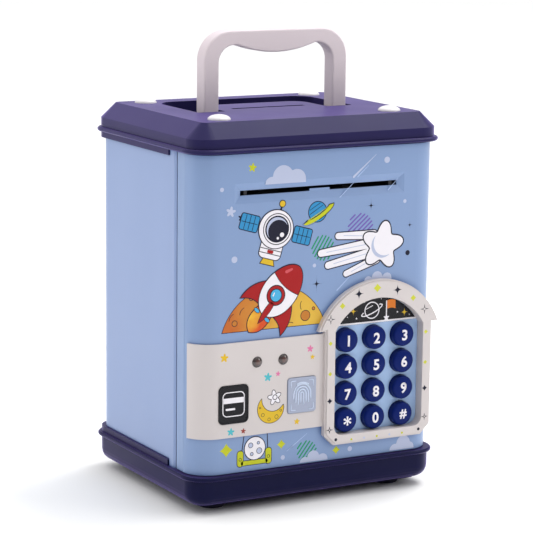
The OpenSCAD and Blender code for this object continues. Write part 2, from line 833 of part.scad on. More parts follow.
module door_liner() {
    lo = [liner_x[0], liner_y[0], liner_z[0]];
    hi = [liner_x[1], liner_y[1], liner_z[1]];
    wall = [liner_t, 0, liner_t];
    bay_wall = [liner_t, 0.9, liner_t];
    bay_lo = [bay_x[0], cell_y - cell_r - 0.2, bay_z[0]];
    bay_hi = [bay_x[1], liner_y[1] + 1, bay_z[1]];
    color(off_white) difference() {
        union() {
            difference() {
                box(lo, hi);
                box(lo + wall - [0, 1, 0], hi - wall - [0, liner_t, 0]);
            }
            difference() {
                box(bay_lo - bay_wall, [bay_hi[0] + liner_t, liner_y[1], bay_hi[2] + liner_t]);
                box(bay_lo, bay_hi);
            }
            for (p = liner_at) rod_y(liner_split_y + 0.05, liner_y[1] - 0.5, p[0], p[1], 3.2);
        }
        // opening for the battery cover, bolt hole, speaker grille and screw holes
        box([bay_x[0] + 2, liner_y[1] - 3, bay_z[0] + 1.5], [bay_x[1] - 2, 0, bay_z[1] - 1.5]);
        box([40, bolt_y - 3.3, bolt_z - 4.3], [70, bolt_y + 3.3, bolt_z + 4.3]);
        for (i = [-3:3]) box(
            [speaker_at[0] - sqrt(100 - 9 * i * i) , liner_y[1] - 3, speaker_at[1] + 3 * i - 0.7],
            [speaker_at[0] + sqrt(100 - 9 * i * i) , liner_y[1] + 1, speaker_at[1] + 3 * i + 0.7]);
        for (p = liner_at) {
            rod_y(-60, 0, p[0], p[1], 1.3);
            rod_y(liner_seat_y, 0, p[0], p[1], 2.3);
        }
        rod_y(-30, 0, 22, bay_z[1] + 2.4, 1.1);
    }
}

module liner_screws() {
    color(steel) for (p = liner_at) screw_y(p, liner_seat_y, inner_y + 1.5, 2.1, 1.05);
}

module battery_cover() {
    color(off_white) difference() {
        union() {
            box([bay_x[0] + 2.2, liner_y[1] - 1.5, bay_z[0] + 1.7],
                [bay_x[1] - 2.2, liner_y[1], bay_z[1] - 1.7]);
            box([15, liner_y[1], bay_z[1] - 6], [29, liner_y[1] + 1.2, bay_z[1] + 5]);
            // ribs for the thumb, and two tabs that hook under the bay's edge
            for (i = [0:4])
                box([14, liner_y[1] - 0.5, 50 + 3 * i], [30, liner_y[1] + 0.7, 51.2 + 3 * i]);
            for (x = [6, 34]) {
                box([x, liner_y[1] - 3, bay_z[0] + 0.3], [x + 5, liner_y[1] - 1.7, bay_z[0] + 5]);
                box([x, liner_y[1] - 3, bay_z[0] + 2], [x + 5, liner_y[1] - 0.5, bay_z[0] + 5]);
            }
        }
        rod_y(-40, 0, 22, bay_z[1] + 2.4, 1.2);
    }
}

module battery_cover_screw() {
    color(steel) {
        rod_y(liner_y[1] + 1.2, liner_y[1] + 2.4, 22, bay_z[1] + 2.4, 2.2);
        rod_y(-29, liner_y[1] + 1.2, 22, bay_z[1] + 2.4, 1);
    }
}

module battery_cells() {
    for (i = [0:2]) {
        z = (bay_z[0] + bay_z[1]) / 2 + (i - 1) * 15;
        s = i == 1 ? -1 : 1;
        mid = cell_x + cell_l / 2;
        color([0.15, 0.3, 0.25]) rod_x(cell_x + 0.8, cell_x + cell_l - 0.8, cell_y, z, cell_r);
        color(steel) rod_x(mid - s * 0.4 - 24.6, mid - s * 0.4 + 24.6, cell_y, z, 6.4);
        color(steel) rod_x(mid + s * 12.4 - 12.6, mid + s * 12.4 + 12.6, cell_y, z, 2.6);
    }
}

module battery_contacts() {
    color(steel) for (i = [0:2]) {
        z = (bay_z[0] + bay_z[1]) / 2 + (i - 1) * 15;
        s = i == 1 ? -1 : 1;
        for (e = [-1, 1]) {
            x = e < 0 ? bay_x[0] + 0.1 : bay_x[1] - 0.5;
            box([x, cell_y - 6, z - 6], [x + 0.4, cell_y + 6, z + 6]);
        }
        // conical spring at the flat end of each cell, and a dimple at the other
        rod_x(s > 0 ? bay_x[0] + 0.3 : cell_x + cell_l + 0.2, s > 0 ? cell_x - 0.2 : bay_x[1] - 0.3,
              cell_y, z, 3.4);
        rod_x(s > 0 ? cell_x + cell_l + 0.2 : bay_x[0] + 0.3, s > 0 ? bay_x[1] - 0.3 : cell_x - 0.2,
              cell_y, z, 1.8);
    }
}

module speaker() {
    color([0.25, 0.25, 0.27]) translate([speaker_at[0], 0, speaker_at[1]]) rotate([90, 0, 0]) {
        y0 = -(liner_y[1] - liner_t);
        cylinder_at(y0, y0 + 2, speaker_r);
        translate([0, 0, y0 + 2]) cylinder(h = 2.5, r1 = speaker_r - 1, r2 = 6);
        cylinder_at(y0 + 4, y0 + 8, 6.5);
    }
}

module latch_actuator() {
    color([0.3, 0.3, 0.34]) difference() {
        union() {
            box([16, bolt_y - 5.5, bolt_z - 9], [42, liner_y[1] - liner_t, bolt_z + 9]);
            box([12, bolt_y - 5.5, bolt_z - 4], [16, bolt_y + 4, bolt_z + 4]);
        }
        rod_x(20, 43, bolt_y, bolt_z, 2.5 + run_fit);
    }
}

module latch_bolt() {
    color(steel) {
        rod_x(26, 44.5, bolt_y, bolt_z, 2.5);
        difference() {
            box([44, bolt_y - 3, bolt_z - 4], [bolt_tip_x, bolt_y + 3, bolt_z + 4]);
            // the tip is bevelled on its front corner
            translate([0, 0, bolt_z - 5]) linear_extrude(10) polygon([
                [bolt_tip_x - 2, bolt_y - 3.1], [bolt_tip_x + 1, bolt_y - 3.1],
                [bolt_tip_x + 1, bolt_y + 0.4]]);
        }
    }
}

// ---------- banknote feeder ----------

module feeder_outline() {
    translate([inner_y + 0.2, 127]) square([21, 30]);
    translate([inner_y + 0.2, 127]) square([30, 16]);
}

module roller_frame() {
    color(rubber_grey) difference() {
        union() {
            for (s = [-1, 1]) {
                along_x(s * (side_x + side_t / 2) - side_t / 2, s * (side_x + side_t / 2) + side_t / 2)
                    feeder_outline();
                for (z = [130, 155])
                    box([s > 0 ? side_x : -side_x - 9, frame_ear_y, z - 2.5],
                        [s > 0 ? side_x + 9 : -side_x, frame_ear_y + 1.6, z + 2.5]);
            }
            // plates that guide the note above and below
            box([-side_x - 0.1, inner_y + 0.2, note_z - 2.3], [side_x + 0.1, -30, note_z - 1.4]);
            box([-side_x - 0.1, inner_y + 0.2, note_z + 1.5], [side_x + 0.1, -30, note_z + 2.6]);
        }
        for (s = [-1, 1])
            box([s * roller_x - 6, feed_y - 7, note_z - 4], [s * roller_x + 6, feed_y + 7, note_z + 4]);
        rod_x(-50, 50, feed_y, drive_z, 3.05);
        rod_x(-50, 50, feed_y, idler_z, idler_shaft_r + run_fit);
        rod_x(side_x - 1, side_x + 3, motor_y, motor_z, 3.2);
        for (p = frame_at) rod_y(-50, -40, p[0], p[1], 1.2);
    }
}

module roller_frame_screws() {
    color(steel) for (p = frame_at) screw_y(p, frame_ear_y + 1.6, inner_y + 0.2, 2.1, 1.05);
}

module shaft_bushes() {
    color([0.75, 0.6, 0.3]) for (s = [-1, 1]) difference() {
        union() {
            rod_x(s * (side_x + 0.8) - 1.6, s * (side_x + 0.8) + 1.6, feed_y, drive_z, 3);
            rod_x(s * (side_x - 0.8) - 0.6, s * (side_x - 0.8) + 0.6, feed_y, drive_z, 3.4);
        }
        rod_x(s * side_x - 5, s * side_x + 5, feed_y, drive_z, drive_shaft_r + run_fit);
    }
}

module feeder_motor() {
    color([0.72, 0.72, 0.75]) difference() {
        union() {
            intersection() {
                rod_x(side_x - 0.1 - motor_l, side_x - 0.1, motor_y, motor_z, motor_r);
                box([0, motor_y - 6, motor_z - 10], [50, motor_y + 6, motor_z + 10]);
            }
            rod_x(side_x - 1, side_x + 1.2, motor_y, motor_z, 3);
            rod_x(side_x - motor_l - 1.6, side_x - motor_l, motor_y, motor_z, 2.6);
        }
        rod_x(side_x - 9, side_x + 4, motor_y, motor_z, 1 + run_fit);
    }
}

module motor_pinion() {
    color(rubber_grey) {
        along_x(gear_x, gear_x + gear_t) translate([motor_y, motor_z])
            rotate(180 + mesh_a + 180 / pinion_n) gear(pinion_n, 0.25);
        rod_x(side_x - 7, gear_x + gear_t + 0.6, motor_y, motor_z, 1);
    }
}

module roller_gear() {
    color(rubber_grey) difference() {
        union() {
            along_x(gear_x, gear_x + gear_t) translate([feed_y, drive_z]) rotate(mesh_a)
                gear(gear_n, 0.25);
            rod_x(gear_x - 0.8, gear_x + gear_t + 1, feed_y, drive_z, 3);
        }
        rod_x(gear_x - 2, gear_x + 9, feed_y, drive_z, drive_shaft_r);
    }
}

module drive_shaft() {
    color(steel) rod_x(-41, gear_x + gear_t + 1.5, feed_y, drive_z, drive_shaft_r);
}

module drive_rollers() {
    color(rubber_grey) for (s = [-1, 1]) difference() {
        rod_x(s * roller_x - 5, s * roller_x + 5, feed_y, drive_z, roller_r);
        rod_x(s * roller_x - 6, s * roller_x + 6, feed_y, drive_z, drive_shaft_r);
    }
}

module idler_shaft() {
    color(steel) rod_x(-40.5, 40.5, feed_y, idler_z, idler_shaft_r);
}

module idler_rollers() {
    color(off_white) for (s = [-1, 1]) difference() {
        rod_x(s * roller_x - 4, s * roller_x + 4, feed_y, idler_z, idler_r);
        rod_x(s * roller_x - 5, s * roller_x + 5, feed_y, idler_z, idler_shaft_r);
    }
}

body_shell();
lid_shell();
lid_screw_caps();
lid_screws();
base_shell();
base_feet();
base_screws();
strike_plate();
strike_screws();
door_hinge_pins();
handle_pins();
handle();
door_panel();
sensor_panel();
card_window();
indicator_leds();
fingerprint_button();
keypad_bezel();
keypad_plate();
keypad_label();
keypad_mat();
keypad_board();
sensor_board();
board_screws();
door_liner();
liner_screws();
battery_cover();
battery_cover_screw();
battery_cells();
battery_contacts();
speaker();
latch_actuator();
latch_bolt();
roller_frame();
roller_frame_screws();
shaft_bushes();
feeder_motor();
motor_pinion();
roller_gear();
drive_shaft();
drive_rollers();
idler_shaft();
idler_rollers();
key(0, 0);  // key_1
key(1, 0);  // key_2
key(2, 0);  // key_3
key(0, 1);  // key_4
key(1, 1);  // key_5
key(2, 1);  // key_6
key(0, 2);  // key_7
key(1, 2);  // key_8
key(2, 2);  // key_9
key(0, 3);  // key_star
key(1, 3);  // key_0
key(2, 3);  // key_hash
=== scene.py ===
"""Looks of the toy savings bank: materials for the CAD nodes, the printed artwork on the door,
the key digits and the fingerprint ridges, and a plain studio with the camera.

Lengths in the artwork are millimetres in the model's frame, as (x, z) on the front faces.
"""
import math

import bmesh
import bpy
from mathutils import Matrix, Vector
from mathutils.geometry import tessellate_polygon


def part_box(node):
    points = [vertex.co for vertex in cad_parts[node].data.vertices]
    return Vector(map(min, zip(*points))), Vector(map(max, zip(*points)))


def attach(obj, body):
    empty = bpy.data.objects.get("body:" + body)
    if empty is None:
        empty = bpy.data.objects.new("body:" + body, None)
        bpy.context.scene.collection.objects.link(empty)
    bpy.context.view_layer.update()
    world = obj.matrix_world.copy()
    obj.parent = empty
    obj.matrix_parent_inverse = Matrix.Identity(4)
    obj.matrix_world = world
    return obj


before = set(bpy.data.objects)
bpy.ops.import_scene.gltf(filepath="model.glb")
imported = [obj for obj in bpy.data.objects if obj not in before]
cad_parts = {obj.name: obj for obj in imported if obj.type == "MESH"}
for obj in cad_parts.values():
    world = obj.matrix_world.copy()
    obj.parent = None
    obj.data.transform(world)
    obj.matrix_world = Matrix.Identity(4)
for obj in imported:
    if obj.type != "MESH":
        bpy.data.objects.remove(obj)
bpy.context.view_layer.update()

MM = 0.001

# Front faces of the door's nodes, in millimetres along Y
DOOR_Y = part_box("door_panel")[0].y / MM
BAND_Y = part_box("sensor_panel")[0].y / MM
BEZEL_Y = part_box("keypad_bezel")[0].y / MM
LABEL_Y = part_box("keypad_label")[0].y / MM
CARD_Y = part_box("card_window")[0].y / MM + 0.3      # the face is sunk 0.3 mm inside its rim
PAD_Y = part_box("fingerprint_button")[0].y / MM


# ---------- node helpers ----------

def rgb(r, g, b):
    """A colour given as 0-255 sRGB, as the linear RGBA that shaders take."""
    def linear(c):
        c /= 255
        return c / 12.92 if c <= 0.04045 else ((c + 0.055) / 1.055) ** 2.4
    return (linear(r), linear(g), linear(b), 1.0)


def shade(color, k):
    """A colour made k times as bright."""
    return tuple(min(1.0, c * k) for c in color[:3]) + (1.0,)


class Shader:
    """A material with one Principled shader, and short calls for the nodes that feed it."""

    def __init__(self, name, **sockets):
        self.material = bpy.data.materials.new(name)
        self.material.use_nodes = True
        self.tree = self.material.node_tree
        self.tree.nodes.clear()
        self.bsdf = self.tree.nodes.new("ShaderNodeBsdfPrincipled")
        out = self.tree.nodes.new("ShaderNodeOutputMaterial")
        self.tree.links.new(self.bsdf.outputs["BSDF"], out.inputs["Surface"])
        self.coords = self.tree.nodes.new("ShaderNodeTexCoord").outputs["Object"]
        for socket, value in sockets.items():
            self.bsdf.inputs[socket.replace("_", " ")].default_value = value

    def node(self, kind, **settings):
        made = self.tree.nodes.new(kind)
        for key, value in settings.items():
            setattr(made, key, value)
        return made

    def feed(self, node, socket, value):
        """Links a socket's value to an input, or sets the input to a number or colour."""
        if isinstance(value, bpy.types.NodeSocket):
            self.tree.links.new(value, node.inputs[socket])
        else:
            node.inputs[socket].default_value = value

    def set(self, socket, value):
        self.feed(self.bsdf, socket, value)

    def moved(self, scale=(1, 1, 1), location=(0, 0, 0), rotation=(0, 0, 0)):
        made = self.node("ShaderNodeMapping")
        self.feed(made, "Vector", self.coords)
        self.feed(made, "Location", location)
        self.feed(made, "Rotation", rotation)
        self.feed(made, "Scale", scale)
        return made.outputs["Vector"]

    def noise(self, size_mm, detail=2.0, rough=0.5, vector=None):
        made = self.node("ShaderNodeTexNoise")
        self.feed(made, "Vector", vector or self.coords)
        self.feed(made, "Scale", 1 / (size_mm * MM))
        self.feed(made, "Detail", detail)
        self.feed(made, "Roughness", rough)
        return made.outputs["Fac"]

    def remap(self, value, lo, hi, to_lo, to_hi):
        made = self.node("ShaderNodeMapRange")
        self.feed(made, "Value", value)
        for socket, x in zip(("From Min", "From Max", "To Min", "To Max"), (lo, hi, to_lo, to_hi)):
            self.feed(made, socket, x)
        return made.outputs["Result"]

    def spread(self, value, to_lo, to_hi):
        """Stretches the middle of a noise, where most of its values lie, to another range."""
        return self.remap(value, 0.3, 0.7, to_lo, to_hi)

    def math(self, operation, a, b=0.0):
        made = self.node("ShaderNodeMath", operation=operation)
        self.feed(made, 0, a)
        self.feed(made, 1, b)
        return made.outputs["Value"]

    def mix(self, factor, a, b):
        made = self.node("ShaderNodeMix", data_type="RGBA")
        self.feed(made, "Factor", factor)
        self.feed(made, 6, a)
        self.feed(made, 7, b)
        return made.outputs[2]

    def bump(self, height, depth_mm, strength=1.0):
        """Adds a bump on top of those that are there already."""
        made = self.node("ShaderNodeBump")
        self.feed(made, "Height", height)
        self.feed(made, "Strength", strength)
        self.feed(made, "Distance", depth_mm * MM)
        old = self.bsdf.inputs["Normal"].links
        if old:
            self.feed(made, "Normal", old[0].from_socket)
        self.set("Normal", made.outputs["Normal"])

    def hairlines(self, size_mm):
        """Fine scratches: thin streaks of a stretched noise, 1 where there is a scratch."""
        stretch, limit = 60, 0.74
        stretched = self.moved(scale=(1, 1, 1 / stretch), rotation=(0.3, 0.5, 0.2))
        return self.remap(self.noise(size_mm, 3, 0.6, stretched), limit, limit + 0.06, 0, 1)


# ---------- materials ----------

def moulded(name, color, rough=0.34, grain=0.35, depth=0.006, mottle=0.03, painted_gap_shade=None,
            **sockets):
    """Moulded plastic: flow marks in the colour, an orange-peel grain, smudges and hairlines.

    grain and depth are the size and depth of the grain in millimetres. The last argument,
    when given, is the colour of painted shade: in narrow gaps, where an ambient occlusion
    node finds nearby surfaces, the colour is mixed towards it.
    """
    flow_size, smudge_size, sink_size, scratch_size = 30, 18, 24, 0.22      # millimetres
    s = Shader(name, **sockets)
    flow = s.noise(flow_size, 3, 0.5, s.moved(scale=(1, 1, 0.4)))
    tone = s.mix(s.remap(flow, 0.2, 0.8, 0, 1), shade(color, 1 - mottle), shade(color, 1 + mottle))
    # painted shade: narrow gaps found by ambient occlusion are darkened towards the shade colour
    if painted_gap_shade:
        near = s.node("ShaderNodeAmbientOcclusion", samples=12)
        s.feed(near, "Distance", 4 * MM)
        tone = s.mix(s.remap(near.outputs["AO"], 0.2, 0.9, 0, 1), painted_gap_shade, tone)
    s.set("Base Color", tone)
    smudge = s.remap(s.noise(smudge_size, 2, 0.5), 0.2, 0.8, rough, rough + 0.08)
    scratch = s.hairlines(scratch_size)
    s.set("Roughness", s.math("ADD", smudge, s.math("MULTIPLY", scratch, 0.04)))
    s.bump(s.noise(grain, 2, 0.5), depth, 0.5)
    s.bump(s.noise(sink_size, 1, 0.4), 0.02, 0.3)
    return s.material


def rubber(name, color, rough=0.72):
    """Dull rubber with dust in its pores."""
    s = Shader(name, Specular_IOR_Level=0.35)
    dust = s.remap(s.noise(4, 5, 0.7), 0.5, 0.75, 0, 1)
    s.set("Base Color", s.mix(dust, color, shade(color, 1.7)))
    s.set("Roughness", s.spread(s.noise(2, 3), rough - 0.08, rough + 0.1))
    s.bump(s.noise(0.3, 4, 0.7), 0.03)
    return s.material


def metal(name, color, rough=0.3, along=(25, 1, 1)):
    """Metal with fine drawing lines, as long as along says on each axis, and darker stains."""
    s = Shader(name, Metallic=1.0)
    lines = s.noise(0.25, 3, 0.6, s.moved(scale=tuple(1 / a for a in along)))
    stain = s.remap(s.noise(3.5, 4, 0.6), 0.45, 0.75, 0, 1)
    s.set("Base Color", s.mix(stain, color, shade(color, 0.72)))
    s.set("Roughness", s.math("ADD", s.spread(lines, rough - 0.08, rough + 0.1),
                              s.math("MULTIPLY", stain, 0.12)))
    s.bump(lines, 0.01, 0.5)
    return s.material


def printed(name, color, rough=0.34, second=None, centre=None, reach=20.0):
    """Pad-printed ink: dense colour with a fine screen grain.

    With a second colour, the ink turns to it over reach millimetres from centre (x, z).
    """
    s = Shader(name, IOR=1.3)
    pale = (0.9, 0.9, 0.92, 1)
    tone = color
    if second:
        away = s.node("ShaderNodeVectorMath", operation="DISTANCE")
        s.feed(away, 0, s.coords)
        s.feed(away, 1, (centre[0] * MM, DOOR_Y * MM, centre[1] * MM))
        waver = s.spread(s.noise(14, 3), -4 * MM, 4 * MM)
        wavy = s.math("ADD", away.outputs["Value"], waver)
        tone = s.mix(s.remap(wavy, 0, reach * MM, 0, 1), color, second)
    screen = s.remap(s.noise(0.3, 2, 0.6), 0.35, 0.65, 0, 0.008)
    s.set("Base Color", s.mix(screen, tone, pale))
    s.set("Roughness", s.spread(s.noise(6, 3), rough - 0.05, rough + 0.08))
    s.bump(s.noise(0.3, 2, 0.5), 0.008, 0.6)
    return s.material


def laminate():
    """Circuit board: green solder mask over paler copper tracks."""
    s = Shader("laminate", Coat_Weight=0.35, Coat_Roughness=0.2)
    cells = s.node("ShaderNodeTexVoronoi", distance="MANHATTAN", feature="DISTANCE_TO_EDGE")
    s.feed(cells, "Vector", s.moved(scale=(1, 0.02, 1)))
    s.feed(cells, "Scale", 1 / (4.5 * MM))
    track = s.remap(cells.outputs["Distance"], 0.04, 0.07, 1, 0)    # 1 on the cells' edges
    s.set("Base Color", s.mix(track, rgb(24, 92, 52), rgb(62, 140, 84)))
    s.set("Roughness", s.spread(s.noise(3, 3), 0.32, 0.5))
    s.bump(track, 0.03)
    return s.material


def speaker_cone():
    """Black paper cone with pressed rings round its middle."""
    lo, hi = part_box("speaker")
    s = Shader("speaker_cone")
    middle = (lo + hi) / 2
    rings = s.node("ShaderNodeTexWave", wave_type="RINGS", rings_direction="Y")
    s.feed(rings, "Vector", s.moved(location=tuple(-middle)))
    s.feed(rings, "Scale", 150.0)
    s.set("Base Color", s.mix(s.noise(0.6, 4), rgb(34, 34, 38), rgb(58, 57, 60)))
    s.set("Roughness", s.spread(s.noise(1.5, 3), 0.6, 0.8))
    s.bump(rings.outputs["Fac"], 0.15)
    return s.material


def smoked_lens():
    """Dark moulded lens whose pale die shows faintly in the middle."""
    s = Shader("smoked_lens", Coat_Weight=0.8, Coat_Roughness=0.05, IOR=1.5)
    lo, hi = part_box("indicator_leds")
    radius = 3.1 * MM
    tone = rgb(58, 46, 46)
    for x in (lo.x + radius, hi.x - radius):
        away = s.node("ShaderNodeVectorMath", operation="DISTANCE")
        s.feed(away, 0, s.coords)
        s.feed(away, 1, (x, lo.y, (lo.z + hi.z) / 2))
        die = s.remap(away.outputs["Value"], 0.8 * MM, 1.7 * MM, 0.75, 0)
        tone = s.mix(die, tone, rgb(96, 62, 56))
    s.set("Base Color", tone)
    s.set("Roughness", s.spread(s.noise(0.8, 3), 0.1, 0.2))
    s.bump(s.noise(0.7, 2), 0.01, 0.5)
    return s.material


def battery_wrap():
    """Shrink wrap over a steel can: dark green, with a lighter band round one end."""
    s = Shader("battery_wrap", Coat_Weight=0.5, Coat_Roughness=0.12)
    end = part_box("battery_cells")[0].x
    across = s.node("ShaderNodeSeparateXYZ")
    s.feed(across, "Vector", s.coords)
    band = s.remap(across.outputs["X"], end + 17 * MM, end + 17.2 * MM, 1, 0)
    s.set("Base Color", s.mix(band, rgb(34, 70, 58), rgb(176, 168, 120)))
    s.set("Metallic", s.spread(s.noise(5, 3), 0.2, 0.45))
    s.set("Roughness", s.spread(s.noise(2, 3), 0.25, 0.4))
    s.bump(s.noise(2.5, 3), 0.03)
    return s.material


def navy(name, color):
    """Navy plastic with a violet sheen."""
    return moulded(name, color, 0.3, grain=0.4, mottle=0.06, IOR=1.2,
                   Sheen_Weight=0.8, Sheen_Roughness=0.35, Sheen_Tint=rgb(160, 138, 232))


def sky(name, color):
    """Light blue plastic, with painted shade that darkens it to a deep blue in narrow gaps."""
    return moulded(name, color, 0.3, mottle=0.012, painted_gap_shade=rgb(38, 84, 150))


LOOKS = {
    "navy_plastic": navy("navy_plastic_look", rgb(19, 18, 66)),
    "sky_plastic": sky("sky_plastic_look", rgb(138, 159, 202)),
    "plate_plastic": moulded("plate_plastic_look", rgb(168, 198, 238), 0.36, mottle=0.012),
    "white_plastic": moulded("white_plastic_look", rgb(210, 202, 201), 0.34, mottle=0.01),
    "handle_plastic": moulded("handle_plastic_look", rgb(220, 207, 213), 0.46, grain=0.6,
                              depth=0.015, mottle=0.015),
    "cap_plastic": moulded("cap_plastic_look", rgb(232, 228, 230), 0.3, mottle=0.01),
    "key_plastic": moulded("key_plastic_look", rgb(4, 27, 98), 0.34, grain=0.3, depth=0.01,
                           IOR=1.2),
    "black_print": printed("black_print_look", rgb(9, 8, 18), 0.24),
    "smoked_lens": smoked_lens(),
    "foot_rubber": rubber("foot_rubber_look", rgb(22, 21, 44)),
    "screw_steel": metal("screw_steel_look", rgb(190, 190, 194)),
    "pin_steel": metal("pin_steel_look", rgb(198, 198, 202), 0.22),
    "contact_steel": metal("contact_steel_look", rgb(208, 206, 204), 0.2),
    "mat_silicone": rubber("mat_silicone_look", rgb(200, 200, 203), 0.6),
    "board_laminate": laminate(),
    "liner_plastic": moulded("liner_plastic_look", rgb(226, 224, 224), 0.5, grain=0.8, depth=0.02),
    "cell_wrap": battery_wrap(),
    "speaker_black": speaker_cone(),
    "actuator_case": metal("actuator_case_look", rgb(84, 84, 92), 0.42),
    "frame_plastic": moulded("frame_plastic_look", rgb(30, 30, 34), 0.5),
    "bush_brass": metal("bush_brass_look", rgb(214, 178, 104), 0.28),
    "motor_can": metal("motor_can_look", rgb(188, 188, 194), 0.26, along=(1, 20, 20)),
    "gear_plastic": moulded("gear_plastic_look", rgb(44, 44, 48), 0.45),
    "roller_rubber": rubber("roller_rubber_look", rgb(50, 50, 54)),
    "idler_plastic": moulded("idler_plastic_look", rgb(218, 218, 218), 0.42),
}
# Nodes whose tone differs from the rest of their material slot: the fingerprint pad has a colour
# of its own, while the door and base are darker copies (painted shade) and the lid a lighter copy
# (painted light) of their slot's plastic.
OWN_TONES_AND_PAINTED_LIGHT = {
    "fingerprint_button": moulded("pad_plastic_look", rgb(163, 171, 194), 0.36, mottle=0.01),
    # painted shade: the door is a darker copy of the light blue, for the shade on its front
    "door_panel": sky("door_painted_shade_look", rgb(129, 154, 196)),
    # painted light: the lid is a lighter copy of the navy, for the light on its top and bevels
    "lid_shell": navy("lid_painted_light_look", rgb(37, 33, 77)),
    # painted shade: the base is a darker copy of the navy, for the shade on its low faces
    "base_shell": navy("base_painted_shade_look", rgb(10, 12, 54)),
}

INKS = {
    "outline": printed("ink_outline", rgb(14, 14, 40)),
    "white": printed("ink_white", rgb(240, 236, 242)),
    "cloud": printed("ink_cloud", rgb(186, 194, 220)),
    "faint": printed("ink_faint", rgb(170, 190, 226)),
    "red": printed("ink_red", rgb(166, 14, 18)),
    "blush": printed("ink_blush", rgb(208, 84, 92)),
    "moon": printed("ink_moon", rgb(228, 190, 70), second=rgb(196, 104, 40), centre=(-8, 88),
                    reach=40),
    "crater": printed("ink_crater", rgb(196, 122, 44)),
    "flame": printed("ink_flame", rgb(240, 206, 60), second=rgb(214, 78, 30), centre=(-37, 91),
                     reach=8),
    "glass": printed("ink_glass", rgb(76, 176, 222)),
    "planet": printed("ink_planet", rgb(50, 142, 196)),
    "lime": printed("ink_lime", rgb(196, 200, 34)),
    "citron": printed("ink_citron", rgb(206, 208, 62)),
    "green": printed("ink_green", rgb(34, 146, 104)),
    "purple": printed("ink_purple", rgb(112, 92, 176)),
    "yellow": printed("ink_yellow", rgb(226, 186, 34)),
    "gold": printed("ink_gold", rgb(222, 184, 44)),
    "teal": printed("ink_teal", rgb(82, 186, 198)),
    "pink": printed("ink_pink", rgb(222, 120, 166)),
    "brick": printed("ink_brick", rgb(150, 66, 58)),
    "orange": printed("ink_orange", rgb(232, 128, 38)),
}


# ---------- plane shapes, as lists of (x, z) in millimetres ----------

def circle(x, z, r, n=48):
    return [(x + r * math.cos(a), z + r * math.sin(a))
            for a in (2 * math.pi * i / n for i in range(n))]


def plump_star(x, z, r, points=5, dent=0.26, turn=90, n=80):
    """A star with round tips, from one cosine round a circle."""
    outline = []
    for i in range(n):
        a = 2 * math.pi * i / n
        reach = r * (1 - dent + dent * math.cos(points * a))
        at = a + math.radians(turn)
        outline.append((x + reach * math.cos(at), z + reach * math.sin(at)))
    return outline


def sparkle(x, z, r, power=3.0, n=48):
    """A four-pointed star with hollow sides; a higher power is thinner."""
    outline = []
    for i in range(n):
        c, s = math.cos(2 * math.pi * i / n), math.sin(2 * math.pi * i / n)
        outline.append((x + r * math.copysign(abs(c) ** power, c),
                        z + r * math.copysign(abs(s) ** power, s)))
    return outline


def streak(x0, z0, x1, z1, w0, w1, n=10):
    """A bar with round ends whose width goes from w0 to w1."""
    along = math.atan2(z1 - z0, x1 - x0)
    outline = []
    for x, z, w, start in ((x0, z0, w0, 90), (x1, z1, w1, -90)):
        for i in range(n + 1):
            a = along + math.radians(start + 180 * i / n)
            outline.append((x + w / 2 * math.cos(a), z + w / 2 * math.sin(a)))
    return outline


def rounded(x, z, hx, hz, r, n=8):
    """A rectangle with round corners, by its middle and half sizes."""
    outline = []
    for sx, sz, start in ((1, 1, 0), (-1, 1, 90), (-1, -1, 180), (1, -1, 270)):
        for i in range(n + 1):
            a = math.radians(start + 90 * i / n)
            outline.append((x + sx * (hx - r) + r * math.cos(a),
                            z + sz * (hz - r) + r * math.sin(a)))
    return outline


def cloud(x, z, lobes, n=60):
    """Flat-bottomed cloud: the upper edge of some circles, each (dx, dz, r)."""
    left = min(dx - r for dx, dz, r in lobes)
    right = max(dx + r for dx, dz, r in lobes)
    top = []
    for i in range(n + 1):
        at = left + (right - left) * i / n
        heights = [dz + math.sqrt(r * r - (at - dx) ** 2)
                   for dx, dz, r in lobes if abs(at - dx) < r]
        top.append((x + at, z + max(heights + [0.05])))
    return [(x + right, z), (x + left, z)] + top


def from_gap(points):
    """The points of an open arc, turned so that they start after its widest gap."""
    gaps = [math.dist(points[i - 1], points[i]) for i in range(len(points))]
    cut = gaps.index(max(gaps))
    return points[cut:] + points[:cut]


def crescent(x, z, r, bite, n=80):
    """A circle with another circle (dx, dz, r) bitten out of it."""
    bx, bz, br = x + bite[0], z + bite[1], bite[2]
    outer = from_gap([p for p in circle(x, z, r, n) if math.dist(p, (bx, bz)) > br])
    inner = from_gap([p for p in circle(bx, bz, br, n) if math.dist(p, (x, z)) < r])
    return outer + inner[::-1]


def curve(p0, p1, p2, n=10):
    """A curved line from p0 to p2 that bends towards p1."""
    return [tuple((1 - t) ** 2 * a + 2 * t * (1 - t) * b + t * t * c
                  for a, b, c in zip(p0, p1, p2))
            for t in (i / n for i in range(n + 1))]


def grow(outline, d):
    """The outline moved outwards by d, for the dark line round a shape."""
    n = len(outline)
    area = sum(outline[i - 1][0] * outline[i][1] - outline[i][0] * outline[i - 1][1]
               for i in range(n))
    side = 1 if area > 0 else -1
    moved = []
    for i in range(n):
        a, b, c = outline[i - 1], outline[i], outline[(i + 1) % n]
        u = Vector((b[0] - a[0], b[1] - a[1])).normalized()
        v = Vector((c[0] - b[0], c[1] - b[1])).normalized()
        out = Vector((u.y + v.y, -(u.x + v.x))) * side
        out = out.normalized() if out.length > 1e-6 else Vector((u.y, -u.x)) * side
        # a corner moves further than a straight, up to 1.8 times as far
        stretch = min(1.8, 1 / max(0.3, out.dot(Vector((u.y, -u.x)) * side)))
        moved.append((b[0] + out.x * d * stretch, b[1] + out.y * d * stretch))
    return moved


def placed(outline, x, z, turn):
    """An outline of (u, v) turned by an angle and moved to x, z."""
    c, s = math.cos(math.radians(turn)), math.sin(math.radians(turn))
    return [(x + u * c - v * s, z + u * s + v * c) for u, v in outline]


# ---------- printing ----------

